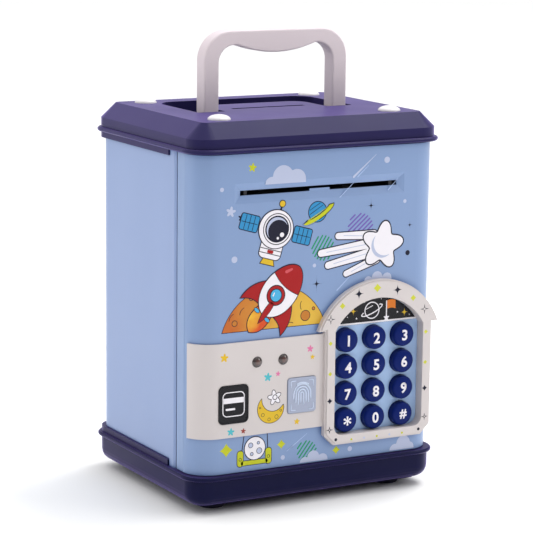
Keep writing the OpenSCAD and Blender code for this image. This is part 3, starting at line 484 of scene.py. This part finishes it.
LAYER = 0.025       # thickness of one layer of ink
LINE = 0.42         # width of the dark line round a shape
prints = {}         # (face, ink): the shapes in it, each a level and its loops


def ink(face, color, level, *loops):
    """Adds one closed shape (an outline and its holes) in one ink, at a layer of a face."""
    prints.setdefault((face, color), []).append((level, loops))


def lined(face, color, level, outline, line=LINE):
    """A shape in one ink over its dark outline."""
    ink(face, "outline", level, grow(outline, line))
    ink(face, color, level + 1, outline)


def add_prism(bm, loops, front, back):
    """A closed plate between two planes of constant Y, from an outline and its holes."""
    rings = [[Vector((x * MM, z * MM, 0)) for x, z in loop] for loop in loops]
    made = []
    for y in (front * MM, back * MM):
        made.append([bm.verts.new((p.x, y, p.y)) for ring in rings for p in ring])
    for tri in tessellate_polygon(rings):
        bm.faces.new([made[0][i] for i in tri])
        bm.faces.new([made[1][i] for i in reversed(tri)])
    start = 0
    for ring in rings:
        for i in range(len(ring)):
            a, b = start + i, start + (i + 1) % len(ring)
            bm.faces.new((made[0][a], made[0][b], made[1][b], made[1][a]))
        start += len(ring)


def finish_mesh(bm, name, material, body):
    bmesh.ops.recalc_face_normals(bm, faces=bm.faces)
    mesh = bpy.data.meshes.new(name)
    bm.to_mesh(mesh)
    bm.free()
    piece = bpy.data.objects.new(name, mesh)
    bpy.context.scene.collection.objects.link(piece)
    mesh.materials.append(material)
    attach(piece, body)
    return piece


FACES = {"door": DOOR_Y, "band": BAND_Y, "bezel": BEZEL_Y, "label": LABEL_Y, "card": CARD_Y}


def make_prints():
    for (face, color), shapes in prints.items():
        bm = bmesh.new()
        for level, loops in shapes:
            add_prism(bm, loops, FACES[face] - LAYER * (level + 1), FACES[face] + LAYER)
        finish_mesh(bm, f"print_{face}_{color}", INKS[color], "door")


# ---------- artwork of the door ----------

def hatched(x, z, r, color, tilt):
    """A disc drawn as slanting strokes."""
    step, width = 1.7, 0.75
    count = int(r / step)
    for i in range(-count, count + 1):
        half = math.sqrt(max(0.0, r * r - (i * step) ** 2)) - width
        if half > width:
            bar = placed(streak(-half, i * step, half, i * step, width, width, 4), x, z, tilt)
            ink("door", color, 0, bar)


def moon_rise():
    """The top of a big cratered moon that stands on the edge of the sensor panel."""
    panel_top = 84.4
    arc = [p for p in circle(-24, 76.4, 28.2, 160) if p[1] >= panel_top]
    lined("door", "moon", 0, arc, 0.3)
    for cx, cz, cr in ((-7.5, 89.5, 2.6), (-44.5, 89, 1.5), (-36, 100, 1.2), (-3.2, 92.5, 0.9),
                       (-13, 98.2, 1.0)):
        ink("door", "outline", 2, circle(cx, cz, cr), circle(cx, cz, cr - 0.32))
        ink("door", "crater", 2, circle(cx, cz, cr - 0.32))
    for cx, cz, turn in ((-16, 86.8, 10), (-46.5, 92, 60), (-41, 94.5, 60), (-10, 94.5, 95)):
        line = curve((-2, 0), (0, 1), (2, -0.4))
        band = line + [(u, v - 0.3) for u, v in reversed(line)]
        ink("door", "outline", 2, placed(band, cx, cz, turn))


def rocket(x, z, turn, half):
    """A tubby rocket: flame, fins, white egg-shaped body, red nose and a porthole.

    It is drawn along u, nose ahead, from -half to half, then placed and turned.
    """
    def egg(u):
        """Half the width of the body at u."""
        return 8.9 * (1 - (u / half) ** 2) ** 0.55 * (1 - 0.08 * u / half)

    def at(outline):
        return placed(outline, x, z, turn)

    flame = curve((-half + 2, 4.2), (-half - 8, 6.5), (-half - 10.5, 0)) + \
        curve((-half - 10.5, 0), (-half - 7, -6.5), (-half + 2, -4.2))[1:]
    lined("door", "flame", 3, at(flame))
    for s in (1, -1):
        puff = [(-half - 0.6 + u * 0.5, s * 3.6 + v) for u, v in circle(0, 0, 1.5, 24)]
        lined("door", "glass", 4, at(puff), 0.25)
        fin = curve((-half * 0.05, s * 8.0), (-half * 0.5, s * 15), (-half - 1.5, s * 14.2)) + \
            curve((-half - 1.5, s * 14.2), (-half * 0.75, s * 9.5), (-half * 0.85, s * 3))[1:]
        lined("door", "red", 5, at(fin))
    body = [(half * math.cos(a), math.copysign(egg(half * math.cos(a)), math.sin(a)))
            for a in (2 * math.pi * (i + 0.5) / 96 for i in range(96))]
    lined("door", "white", 6, at(body))
    cut = half * 0.26
    nose = [p for p in body if p[0] > cut]
    first = next(i for i in range(len(nose)) if nose[i][1] < 0)
    nose = nose[first:] + nose[:first]
    nose += curve(nose[-1], (cut - 2.6, 0), nose[0])[1:-1]
    lined("door", "red", 8, at(nose), 0.3)
    ink("door", "blush", 10, at(placed(streak(-1.3, 0, 1.6, 0, 1.5, 1.1), half * 0.66, 3.2, -28)))
    ink("door", "outline", 8, at(circle(-3.4, 0.6, 4.9)))
    ink("door", "red", 9, at(circle(-3.4, 0.6, 4.45)))
    ink("door", "outline", 10, at(circle(-3.4, 0.6, 3.2)))
    ink("door", "glass", 11, at(circle(-3.4, 0.6, 2.75)))
    ink("door", "white", 12, at(streak(-4.4, 1.6, -3.1, 2.0, 0.65, 0.5)))
    keel = curve((-half * 0.5, -1.4), (-half * 0.95, -3.0), (-half - 4.5, -1.0)) + \
        curve((-half - 4.5, -1.0), (-half * 0.95, 1.2), (-half * 0.5, 0.6))[1:]
    lined("door", "red", 8, at(keel), 0.3)


def satellite(x, z, turn):
    """A round white probe with a dark window, two panels and an aerial."""
    def at(outline):
        return placed(outline, x, z, turn)

    for s in (1, -1):
        ink("door", "outline", 1, at(streak(s * 7, 0, s * 11, 0, 1.3, 1.3)))
        lined("door", "planet", 2, at(rounded(s * 14.3, 0, 4.6, 3.6, 0.8)))
        for i in (-1, 0, 1):
            bar = s * 14.3 + i * 2.3
            ink("door", "outline", 4, at(streak(bar, -3.3, bar, 3.3, 0.3, 0.3, 3)))
        ink("door", "outline", 4, at(streak(s * 10.2, 0, s * 18.4, 0, 0.3, 0.3, 3)))
    ink("door", "outline", 2, at(streak(0, 7, 0, 11.4, 1.0, 0.8)))
    lined("door", "gold", 2, at(circle(0, 12, 1.4)), 0.35)
    lined("door", "gold", 2, at([(-2.2, -13), (2.2, -13), (3.6, -16.6), (-3.6, -16.6)]), 0.35)
    lined("door", "white", 4, at(rounded(0, -9.4, 5.6, 4.4, 2.2)))
    for v in (-9.6, -11.6):
        ink("door", "outline", 6, at(streak(-5.4, v, 5.4, v, 0.35, 0.35, 3)))
    ink("door", "red", 6, at(rounded(0, -10.6, 1.6, 0.75, 0.5)))
    lined("door", "white", 6, at(circle(0, 0, 8.8, 72)))
    ink("door", "outline", 8, at(circle(0.5, 0.2, 7.3, 64)), at(circle(0.5, 0.2, 6.9, 64)))
    ink("door", "outline", 8, at(circle(0.5, 0.2, 6.2, 64)))
    ink("door", "cloud", 9, at(crescent(0.5, 0.2, 5.5, (0.9, -0.9, 5.35))))
    ink("door", "white", 9, at(circle(3.7, -1.8, 1.1)))
    ink("door", "white", 9, at(circle(2.0, -3.8, 0.6)))


def ringed_planet(x, z, r, turn):
    """A banded planet with the near half of its ring."""
    def at(outline):
        return placed(outline, x, z, turn)

    def ellipse(hu, hv, n=64):
        return [(hu * math.cos(2 * math.pi * i / n), hv * math.sin(2 * math.pi * i / n))
                for i in range(n)]

    lined("door", "planet", 0, at(circle(0, 0, r)), 0.4)
    for v in (-0.35, 0.25, 0.62):
        half = r * math.sqrt(1 - v * v) - 0.5
        ink("door", "outline", 2, at(streak(-half, v * r, half, v * r, 0.28, 0.28, 3)))
    front = [(u, v - 1.1) for u, v in ellipse(r * 1.95, r * 0.5)]
    inner = [(u, v - 0.35) for u, v in ellipse(r * 1.5, r * 0.3)]
    band = [p for p in front if p[1] < -0.9]
    lift = [p for p in inner if p[1] < -0.6]
    ring = band + lift[::-1]
    lined("door", "lime", 3, at(ring), 0.4)


def comet(x, z, turn):
    """A big white star with four ribbons streaming behind it."""
    for v, length, width in ((7.4, 17, 4.2), (2.5, 27, 4.6), (-2.6, 24, 4.6), (-7.4, 15, 4.0)):
        ribbon = placed(streak(-4, v * 0.8, -6 - length, v * 1.25, width, width * 0.7), x, z, turn)
        lined("door", "white", 1, ribbon, 0.5)
        fold = placed(streak(-9, v * 0.86, -3 - length, v * 1.2, 0.3, 0.3, 3), x, z, turn)
        ink("door", "cloud", 3, fold)
    lined("door", "white", 4, plump_star(x, z, 11.4, dent=0.2, turn=turn + 90 - 18), 0.6)
    ink("door", "cloud", 6, placed(crescent(0, 0, 6.0, (1.4, 1.2, 6.2)), x, z, 0))


def moon_swing(x, z):
    """A little moon on a swing that hangs from the sensor panel."""
    panel_foot = 35.9
    for s in (-1, 1):
        rope = streak(x + s * 6.1, panel_foot, x + s * 7.2 - 0.6, z - 5.8, 0.45, 0.45, 4)
        ink("door", "outline", 0, rope)
        arm = x + s * 7.4 - 0.6
        lined("door", "lime", 1, rounded(arm, z - 4.3, 1.5, 3.7, 1.4), 0.3)
        ink("door", "outline", 3, circle(arm, z - 4.6, 0.8), circle(arm, z - 4.6, 0.55))
    lined("door", "lime", 1, rounded(x - 0.6, z - 6.6, 7.0, 1.0, 0.9), 0.3)
    lined("door", "white", 3, circle(x - 0.4, z, 5.3, 64), 0.4)
    for dx, dz, r in ((-2.2, 1.6, 1.3), (1.8, 2.4, 0.8), (2.3, -1.4, 1.5), (-1.6, -2.6, 0.9)):
        crater = circle(x - 0.4 + dx, z + dz, r - 0.25)
        ink("door", "outline", 5, circle(x - 0.4 + dx, z + dz, r), crater)
        ink("door", "cloud", 5, crater)


def door_art():
    """The printed sky on the door: a list for each kind of shape, with its place and size."""
    moon_rise()
    rocket(-20.5, 102.4, 47, 14)
    satellite(-23.5, 131, -16)
    ringed_planet(-1.7, 137.6, 4.6, 30)
    hatched(1.5, 120.5, 6.4, "green", 58)
    hatched(21.5, 128.5, 7.2, "purple", 40)
    comet(33.5, 119.5, 8)
    moon_swing(-33.0, 29.4)
    for x, z, lobes in (
            (-18.5, 151.8, ((-7.4, 0, 3.4), (-1.5, 3.0, 5.4), (5.6, 1.5, 4.8))),
            (31.8, 103.0, ((-5.6, 0, 2.2), (-0.8, 1.3, 2.9), (4.6, 0.6, 2.6))),
            (46.6, 19.5, ((-3.8, 0, 3.0), (0.8, 2.8, 3.8), (4.2, 0.6, 2.6)))):
        ink("door", "cloud", 0, cloud(x, z, lobes))
    hatched(-5.7, 24.6, 5.6, "green", 52)
    ink("door", "cloud", 1, cloud(-1.6, 19.4, ((-5.2, 0, 2.6), (-0.6, 2.0, 3.2), (4.4, 0.4, 2.8))))
    for x0, z0, x1, z1, w0, color in (
            (17.3, 152.6, 29.5, 162.6, 1.0, "cloud"), (19.5, 152.6, 25.4, 157.6, 0.5, "faint"),
            (10.1, 143.6, 17.5, 150.0, 0.5, "faint"), (36.1, 145.4, 41.4, 150.4, 0.5, "faint"),
            (9.3, 100.0, 18.9, 108.4, 0.6, "faint"), (-14.7, 27.2, -5.7, 33.2, 0.6, "faint"),
            (-16.4, 26.0, -13.0, 28.3, 0.4, "faint")):
        ink("door", color, 0, streak(x0, z0, x1, z1, w0, 0.15))
    for x, z, r, color in (
            (-35.9, 160.0, 2.1, "lime"), (-46.8, 140.5, 2.5, "cloud"),
            (-41.4, 137.5, 1.7, "outline")):
        ink("door", color, 0, plump_star(x, z, r, turn=80))
    for x, z, r, color in (
            (-44.8, 118.5, 1.5, "cloud"), (47.6, 114.8, 1.2, "outline"),
            (35.3, 159.6, 1.5, "cloud"), (-51.4, 150.8, 1.0, "cloud"),
            (17.7, 23.1, 1.2, "cloud"), (-18.5, 23.2, 1.1, "cloud"),
            (45.5, 139.5, 0.9, "cloud"), (-3.0, 112.6, 0.9, "cloud")):
        ink("door", color, 0, circle(x, z, r, 32))
    for x, z, r, power, color in (
            (-1.7, 103.9, 4.2, 6.5, "outline"), (27.0, 138.6, 3.4, 6.5, "outline"),
            (-48.3, 30.0, 3.4, 2.6, "lime"), (-19.4, 29.6, 2.4, 2.6, "lime"),
            (10.2, 23.4, 2.2, 2.6, "lime"), (48.5, 128.0, 2.2, 6.0, "outline")):
        ink("door", color, 0, sparkle(x, z, r, power))


def band_art():
    """Little stars, and a cratered crescent under an outlined star, on the sensor panel."""
    for x, z, r, color in (
            (-50.1, 73.7, 2.1, "yellow"), (-27.4, 62.5, 2.1, "teal"), (-22.1, 63.6, 1.3, "pink"),
            (-5.2, 73.8, 1.7, "pink"), (-3.9, 69.8, 1.2, "yellow"), (-11.8, 39.8, 1.5, "yellow"),
            (-46.5, 38.7, 1.9, "teal"), (-40.0, 38.5, 1.3, "brick")):
        ink("band", color, 0, plump_star(x, z, r, turn=84))
    lined("band", "gold", 0, crescent(-25.8, 47.6, 6.8, (1.4, 4.6, 6.2)), 0.28)
    for x, z, r in ((-29.9, 44.9, 0.9), (-26.6, 42.5, 0.8), (-22.7, 43.4, 1.0), (-31.4, 48.4, 0.5),
                    (-20.5, 46.2, 0.6)):
        ink("band", "outline", 2, circle(x, z, r, 24), circle(x, z, r - 0.2, 24))
    lined("band", "white", 0, plump_star(-23.8, 52.6, 3.5, turn=100), 0.32)
    ink("band", "outline", 2, circle(-23.6, 52.7, 1.3), circle(-23.6, 52.7, 0.95))


def card_art():
    """A bank card: a rounded outline, a stripe and a short line, printed white on black."""
    x, z = -45.25, 51.75
    ink("card", "white", 0, rounded(x, z, 5.75, 5.8, 2.4), rounded(x, z, 5.3, 5.35, 2.0))
    ink("card", "white", 0, rounded(x, z + 1.75, 5.5, 1.25, 0.1, 2))
    ink("card", "white", 0, streak(x - 3.6, z - 2.3, x + 0.4, z - 2.3, 0.95, 0.95))


def bezel_art():
    """Stars and dots round the frame of the keypad."""
    for x, z, r in ((19.2, 98.0, 2.9), (40.3, 98.2, 2.8)):
        ink("bezel", "outline", 0, sparkle(x, z, r, 4.2))
    for x, z, r in ((29.2, 100.0, 2.1), (49.1, 93.6, 1.6), (10.4, 93.0, 1.6)):
        ink("bezel", "citron", 0, sparkle(x, z, r, 2.3))
    for x, z in ((56.6, 76.6), (56.6, 61.8), (4.3, 75.7), (4.3, 61.2)):
        ink("bezel", "citron", 0, sparkle(x, z, 1.1, 2.2))
    for x, z, r in ((55.6, 87.7, 2.2), (4.2, 87.1, 2.2), (56.8, 35.2, 1.6), (4.4, 34.4, 1.6)):
        for turn in range(4):
            c, s = math.cos(math.pi / 2 * turn), math.sin(math.pi / 2 * turn)
            ray = placed(streak(0, 0.32 * r, 0, r, 0.5, 0.15, 4), x, z, 90 * turn)
            ink("bezel", "outline", 0, ray)
            dot = circle(x + 0.5 * r * (c - s) * 0.5, z + 0.5 * r * (s + c) * 0.5, 0.14, 12)
            ink("bezel", "outline", 0, dot)
    for x, z in ((56.6, 49.2), (4.3, 48.3)):
        ink("bezel", "outline", 0, sparkle(x, z, 1.5, 2.8))
    for x, z in ((7.9, 29.4), (53.6, 29.4)):
        ink("bezel", "outline", 0, circle(x, z, 0.75, 24))
    for i, color in enumerate(("lime", "cloud", "lime", "cloud", "lime")):
        ink("bezel", color, 0, circle(16.4 + 7.0 * i, 28.6, 0.55, 20))


def label_art():
    """The night sky over the keys: white ground line, a ringed ball, a flag and stars."""
    ink("label", "white", 0, rounded(31, 82.75, 23.7, 0.4, 0.3, 3))
    ball_x, ball_z, tilt = 29.6, 88.4, 22
    ink("label", "white", 1, circle(ball_x, ball_z, 4.1, 56), circle(ball_x, ball_z, 3.6, 56))
    ring = [(6.3 * math.cos(math.radians(a)), 1.7 * math.sin(math.radians(a)))
            for a in range(140, 401, 5)]
    inner = [(u * 0.9, v * 0.66) for u, v in reversed(ring)]
    ink("label", "white", 2, placed(ring + inner, ball_x, ball_z, tilt))
    stripe = streak(-2.6, 1.9, 1.2, 1.9, 0.35, 0.35, 4)
    ink("label", "white", 1, placed(stripe, ball_x, ball_z, tilt))
    ink("label", "white", 1, streak(37.6, 83, 37.6, 92.2, 0.55, 0.55, 4))
    ink("label", "white", 2, plump_star(37.6, 84.2, 1.5))
    flag = curve((38, 92.4), (40.2, 93.2), (42.6, 92.2)) + \
        curve((42.6, 88.2), (40.2, 89.2), (38, 88.4))
    ink("label", "orange", 1, flag)
    ink("label", "gold", 0, sparkle(19.4, 88.7, 2.6, 5.5))
    ink("label", "gold", 0, sparkle(47.6, 86.0, 2.3, 4.5))
    for x, z, r in ((12.6, 84.9, 0.95), (21.2, 85.1, 0.5), (43.7, 86.4, 0.5), (25.5, 92.6, 0.3),
                    (16.2, 86.2, 0.3), (34.6, 93.4, 0.3), (50.4, 84.6, 0.35)):
        ink("label", "white", 0, plump_star(x, z, r, n=30))


# ---------- key digits ----------

KEYS = {"key_1": "1", "key_2": "2", "key_3": "3", "key_4": "4", "key_5": "5", "key_6": "6",
        "key_7": "7", "key_8": "8", "key_9": "9", "key_star": "*", "key_0": "0", "key_hash": "#"}
DIGIT_H = 5.2       # height of a digit
DIGIT_W = 3.7       # widest a digit may be
SIGN_H = 4.6        # height of the star and the hash
INK_TOP = 0.06      # how far the ink stands out of the face of a key
INK_FOOT = 0.05     # how far it reaches in under the face


def asterisk(r, n=6):
    """Six arms that widen outwards, as one outline."""
    outline = []
    for i in range(n):
        a = math.radians(90 + 360 * i / n)
        for along, across in ((0.3, -0.5), (1.0, -0.62), (1.12, 0.0), (1.0, 0.62), (0.3, 0.5)):
            spread = across * r * 0.42
            narrow = 0.6 if along < 0.5 else 1
            outline.append((r * along * math.cos(a) - spread * math.sin(a) * narrow,
                            r * along * math.sin(a) + spread * math.cos(a) * narrow))
    return [(-x, z) for x, z in outline][::-1]


def digit_mesh(character):
    """A flat digit, star or hash in the X-Y plane, in millimetres and centred, as triangles."""
    bm = bmesh.new()
    if character == "*":
        ring = [Vector((x, z, 0)) for x, z in asterisk(2.3)]
        verts = [bm.verts.new(p) for p in ring]
        for tri in tessellate_polygon([ring]):
            bm.faces.new([verts[i] for i in tri])
    else:
        text = bpy.data.curves.new("digit_shape", "FONT")
        text.body = character
        text.offset = 0.03
        text.resolution_u = 6
        holder = bpy.data.objects.new("digit_shape", text)
        bpy.context.scene.collection.objects.link(holder)
        flat = holder.to_mesh()
        bm.from_mesh(flat)
        holder.to_mesh_clear()
        bpy.data.objects.remove(holder)
        bpy.data.curves.remove(text)
        bmesh.ops.triangulate(bm, faces=bm.faces)
    bmesh.ops.remove_doubles(bm, verts=bm.verts, dist=1e-5)
    xs = [v.co.x for v in bm.verts]
    ys = [v.co.y for v in bm.verts]
    wide, tall = max(xs) - min(xs), max(ys) - min(ys)
    k_tall = (SIGN_H if character in "*#" else DIGIT_H) / tall
    k_wide = k_tall if character in "*#" else min(k_tall, DIGIT_W / wide)
    for v in bm.verts:
        v.co = ((v.co.x - (max(xs) + min(xs)) / 2) * k_wide,
                (v.co.y - (max(ys) + min(ys)) / 2) * k_tall, 0)
    return bm


def on_key(node, character):
    """Prints a character on the domed face of its key."""
    lo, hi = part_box(node)
    bm = digit_mesh(character)
    bmesh.ops.subdivide_edges(bm, edges=bm.edges, cuts=1, use_grid_fill=True)
    bmesh.ops.triangulate(bm, faces=bm.faces)
    bottom = list(bm.faces)
    top = bmesh.ops.extrude_face_region(bm, geom=bottom)
    raised = {v for v in top["geom"] if isinstance(v, bmesh.types.BMVert)}
    x0, z0, face = (lo.x + hi.x) / 2, (lo.z + hi.z) / 2, lo.y
    # the face falls by shallow as far out as mid, and from there by steep over the next width
    mid = ((hi.x - lo.x) / MM / 2 - 0.8) / 2
    shallow, steep, width = 0.1, 0.25, mid - 1.3
    for v in bm.verts:
        r = math.hypot(v.co.x, v.co.y)
        sink = shallow * r / mid if r < mid else shallow + steep * (r - mid) / width
        lift = INK_TOP if v in raised else -INK_FOOT
        v.co = (x0 + v.co.x * MM, face + (sink - lift) * MM, z0 + v.co.y * MM)
    finish_mesh(bm, "print_" + node, INKS["white"], node)


# ---------- fingerprint pad ----------

def ridge(bm, points, width=0.74, height=0.34):
    """A raised line with a round back along points (x, z) on the fingerprint pad."""
    profile = [(-1, 0.15), (-0.87, -0.5), (-0.5, -0.87), (0, -1), (0.5, -0.87), (0.87, -0.5),
               (1, 0.15)]
    n = len(points)
    rings = []
    for i in range(n):
        before, after = points[max(0, i - 1)], points[min(n - 1, i + 1)]
        along = Vector((after[0] - before[0], after[1] - before[1])).normalized()
        side = Vector((-along.y, along.x))
        taper = 0.75 if i in (0, n - 1) else 1.0
        rings.append([bm.verts.new(((points[i][0] + side.x * a * width / 2 * taper) * MM,
                                    (PAD_Y + b * height * taper) * MM,
                                    (points[i][1] + side.y * a * width / 2 * taper) * MM))
                      for a, b in profile])
    for one, two in zip(rings, rings[1:]):
        for j in range(len(profile)):
            k = (j + 1) % len(profile)
            bm.faces.new((one[j], one[k], two[k], two[j]))
    bm.faces.new(rings[0])
    bm.faces.new(rings[-1][::-1])


def fingerprint_ridges():
    """Nested arches under a cap, inside four corner brackets."""
    lo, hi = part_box("fingerprint_button")
    x0, z0 = (lo.x + hi.x) / 2 / MM, (lo.z + hi.z) / 2 / MM
    bm = bmesh.new()
    # each arch has two legs of its own length
    for r, left, right in ((0.75, 3.6, 4.6), (2.0, 4.4, 3.2), (3.25, 3.4, 3.8), (4.5, 1.6, 2.0)):
        arch = [(x0 - r * 1.04, z0 - left)]
        arch += [(x0 - r, z0 - 0.6 * left + 0.5)]
        arch += [(x0 + r * math.cos(a), z0 + 0.6 + r * 1.06 * math.sin(a))
                 for a in (math.pi - math.pi * i / 16 for i in range(17))]
        arch += [(x0 + r, z0 - 0.6 * right + 0.5), (x0 + r * 1.04, z0 - right)]
        ridge(bm, arch)
    cap_r = 5.6
    ridge(bm, [(x0 + cap_r * math.cos(a), z0 + 0.4 + cap_r * math.sin(a))
               for a in (math.radians(degrees) for degrees in range(52, 129, 6))])
    for sx in (-1, 1):
        for sz in (-1, 1):
            ridge(bm, [(x0 + sx * 3.4, z0 + sz * 6.9), (x0 + sx * 5.4, z0 + sz * 6.9),
                       (x0 + sx * 5.78, z0 + sz * 6.78), (x0 + sx * 5.9, z0 + sz * 6.4),
                       (x0 + sx * 5.9, z0 + sz * 3.9)], 0.55, 0.3)
    tint = moulded("ridge_plastic_look", rgb(204, 216, 238), 0.34, mottle=0.01)
    piece = finish_mesh(bm, "fingerprint_ridges", tint, "fingerprint")
    for face in piece.data.polygons:
        face.use_smooth = True


# ---------- CAD nodes ----------

# Radius of the rounded edges of a node, in millimetres
SOFT_EDGES = {"lid_shell": 0.35, "base_shell": 0.35, "body_shell": 0.4, "door_panel": 0.45,
              "sensor_panel": 0.28, "keypad_bezel": 0.25, "handle": 0.9, "fingerprint_button": 0.3,
              "card_window": 0.15, "keypad_plate": 0.2, "door_liner": 0.25, "battery_cover": 0.25,
              "roller_frame": 0.2, "strike_plate": 0.15, "latch_bolt": 0.2, "feeder_motor": 0.3}


def soften(node, width):
    """Rounds a node's sharp edges by modifiers, which leave the CAD mesh as it is."""
    weld = node.modifiers.new("weld", "WELD")
    weld.merge_threshold = 0.002 * MM
    flat = node.modifiers.new("flat", "DECIMATE")
    flat.decimate_type = "DISSOLVE"
    flat.angle_limit = math.radians(0.5)
    bevel = node.modifiers.new("edges", "BEVEL")
    bevel.width = width * MM
    bevel.segments = 3
    bevel.limit_method = "ANGLE"
    bevel.angle_limit = math.radians(35)
    bevel.harden_normals = False
    normals = node.modifiers.new("normals", "WEIGHTED_NORMAL")
    normals.keep_sharp = True


def dress_nodes():
    """Gives every CAD node its material, and rounds the edges that catch the light."""
    for name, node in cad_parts.items():
        for slot in node.material_slots:
            slot.material = OWN_TONES_AND_PAINTED_LIGHT.get(name) or LOOKS[slot.material.name]
        if name in SOFT_EDGES:
            soften(node, SOFT_EDGES[name])


# ---------- studio ----------

TENT_BASE, TENT_TOP, TENT_BACK = 0.13, 1.65, 0.6       # strengths of the light tent


def area_light(name, location, target, size, power):
    """A rectangular softbox aimed at a point: metres, and watts."""
    data = bpy.data.lights.new(name, "AREA")
    data.shape = "RECTANGLE"
    data.size, data.size_y = size
    data.energy = power
    lamp = bpy.data.objects.new(name, data)
    bpy.context.scene.collection.objects.link(lamp)
    lamp.location = location
    aim = Vector(target) - Vector(location)
    lamp.rotation_euler = aim.to_track_quat("-Z", "Y").to_euler()


def tent():
    """Light tent: bright overhead and at the back, dim low down in front."""
    world = bpy.data.worlds.new("tent")
    bpy.context.scene.world = world
    world.use_nodes = True
    tree = world.node_tree
    coords = tree.nodes.new("ShaderNodeTexCoord").outputs["Generated"]

    def part(direction, power, gain):
        """Light that is strongest in one direction, and falls off faster at a higher power."""
        dot = tree.nodes.new("ShaderNodeVectorMath")
        dot.operation = "DOT_PRODUCT"
        tree.links.new(coords, dot.inputs[0])
        dot.inputs[1].default_value = direction
        shaped = [dot.outputs["Value"]]
        for operation, value in (("MAXIMUM", 0.0), ("POWER", power), ("MULTIPLY", gain)):
            step = tree.nodes.new("ShaderNodeMath")
            step.operation = operation
            tree.links.new(shaped[-1], step.inputs[0])
            step.inputs[1].default_value = value
            shaped.append(step.outputs["Value"])
        return shaped[-1]

    total = tree.nodes.new("ShaderNodeMath")
    total.operation = "ADD"
    tree.links.new(part((0, 0, 1), 2.2, TENT_TOP), total.inputs[0])
    tree.links.new(part((0, 1, 0), 1.0, TENT_BACK), total.inputs[1])
    base = tree.nodes.new("ShaderNodeMath")
    base.operation = "ADD"
    tree.links.new(total.outputs["Value"], base.inputs[0])
    base.inputs[1].default_value = TENT_BASE
    background = tree.nodes["Background"]
    background.inputs["Color"].default_value = (1, 1, 1, 1)
    tree.links.new(base.outputs["Value"], background.inputs["Strength"])


def studio():
    """A white floor, the tent and three softboxes."""
    s = Shader("floor_paper", Specular_IOR_Level=0.2)
    s.set("Base Color", s.mix(s.noise(60, 3), rgb(250, 250, 250), rgb(253, 253, 253)))
    s.set("Roughness", s.spread(s.noise(8, 3), 0.7, 0.85))
    s.bump(s.noise(0.8, 4, 0.7), 0.02, 0.4)
    bpy.ops.mesh.primitive_circle_add(vertices=128, radius=9, fill_type="NGON")
    floor = bpy.context.object
    floor.name = "floor"
    floor.data.materials.append(s.material)

    tent()
    middle = (0, 0, 0.12)
    area_light("softbox_top", (0.72, 0.1, 1.42), middle, (0.8, 0.8), 13)
    area_light("softbox_left", (-1.6, 0.5, 0.5), middle, (0.8, 1.0), 4)
    area_light("softbox_front", (0.62, -0.55, 0.42), middle, (0.35, 0.35), 1.3)

    scene = bpy.context.scene
    scene.view_settings.view_transform = "Standard"
    scene.view_settings.look = "None"


# Camera: its angles in degrees, its distance and target in metres, its lens in millimetres
AZIMUTH, ELEVATION, ROLL = -28.915, 10.341, 0.61
DISTANCE, TARGET, LENS = 1.11473, (0.001116, 0, 0.10305), 156.14


def camera():
    """The camera that sees the bank as the photograph does."""
    azimuth, elevation, roll = (math.radians(d) for d in (AZIMUTH, ELEVATION, ROLL))
    back = Vector((math.sin(azimuth) * math.cos(elevation),
                   -math.cos(azimuth) * math.cos(elevation), math.sin(elevation)))
    right = (-back).cross(Vector((0, 0, 1))).normalized()
    up = right.cross(-back)
    turned_right = right * math.cos(roll) + up * math.sin(roll)
    turned_up = up * math.cos(roll) - right * math.sin(roll)
    data = bpy.data.cameras.new("camera")
    data.lens = LENS
    data.sensor_width = 36
    data.clip_start = 0.05
    data.clip_end = 50
    cam = bpy.data.objects.new("camera", data)
    bpy.context.scene.collection.objects.link(cam)
    axes = Matrix((turned_right, turned_up, back)).transposed()
    cam.matrix_world = Matrix.Translation(Vector(TARGET) + back * DISTANCE) @ axes.to_4x4()
    bpy.context.scene.camera = cam


camera()
studio()
dress_nodes()
door_art()
band_art()
card_art()
bezel_art()
label_art()
make_prints()
for key, character in KEYS.items():
    on_key(key, character)
fingerprint_ridges()
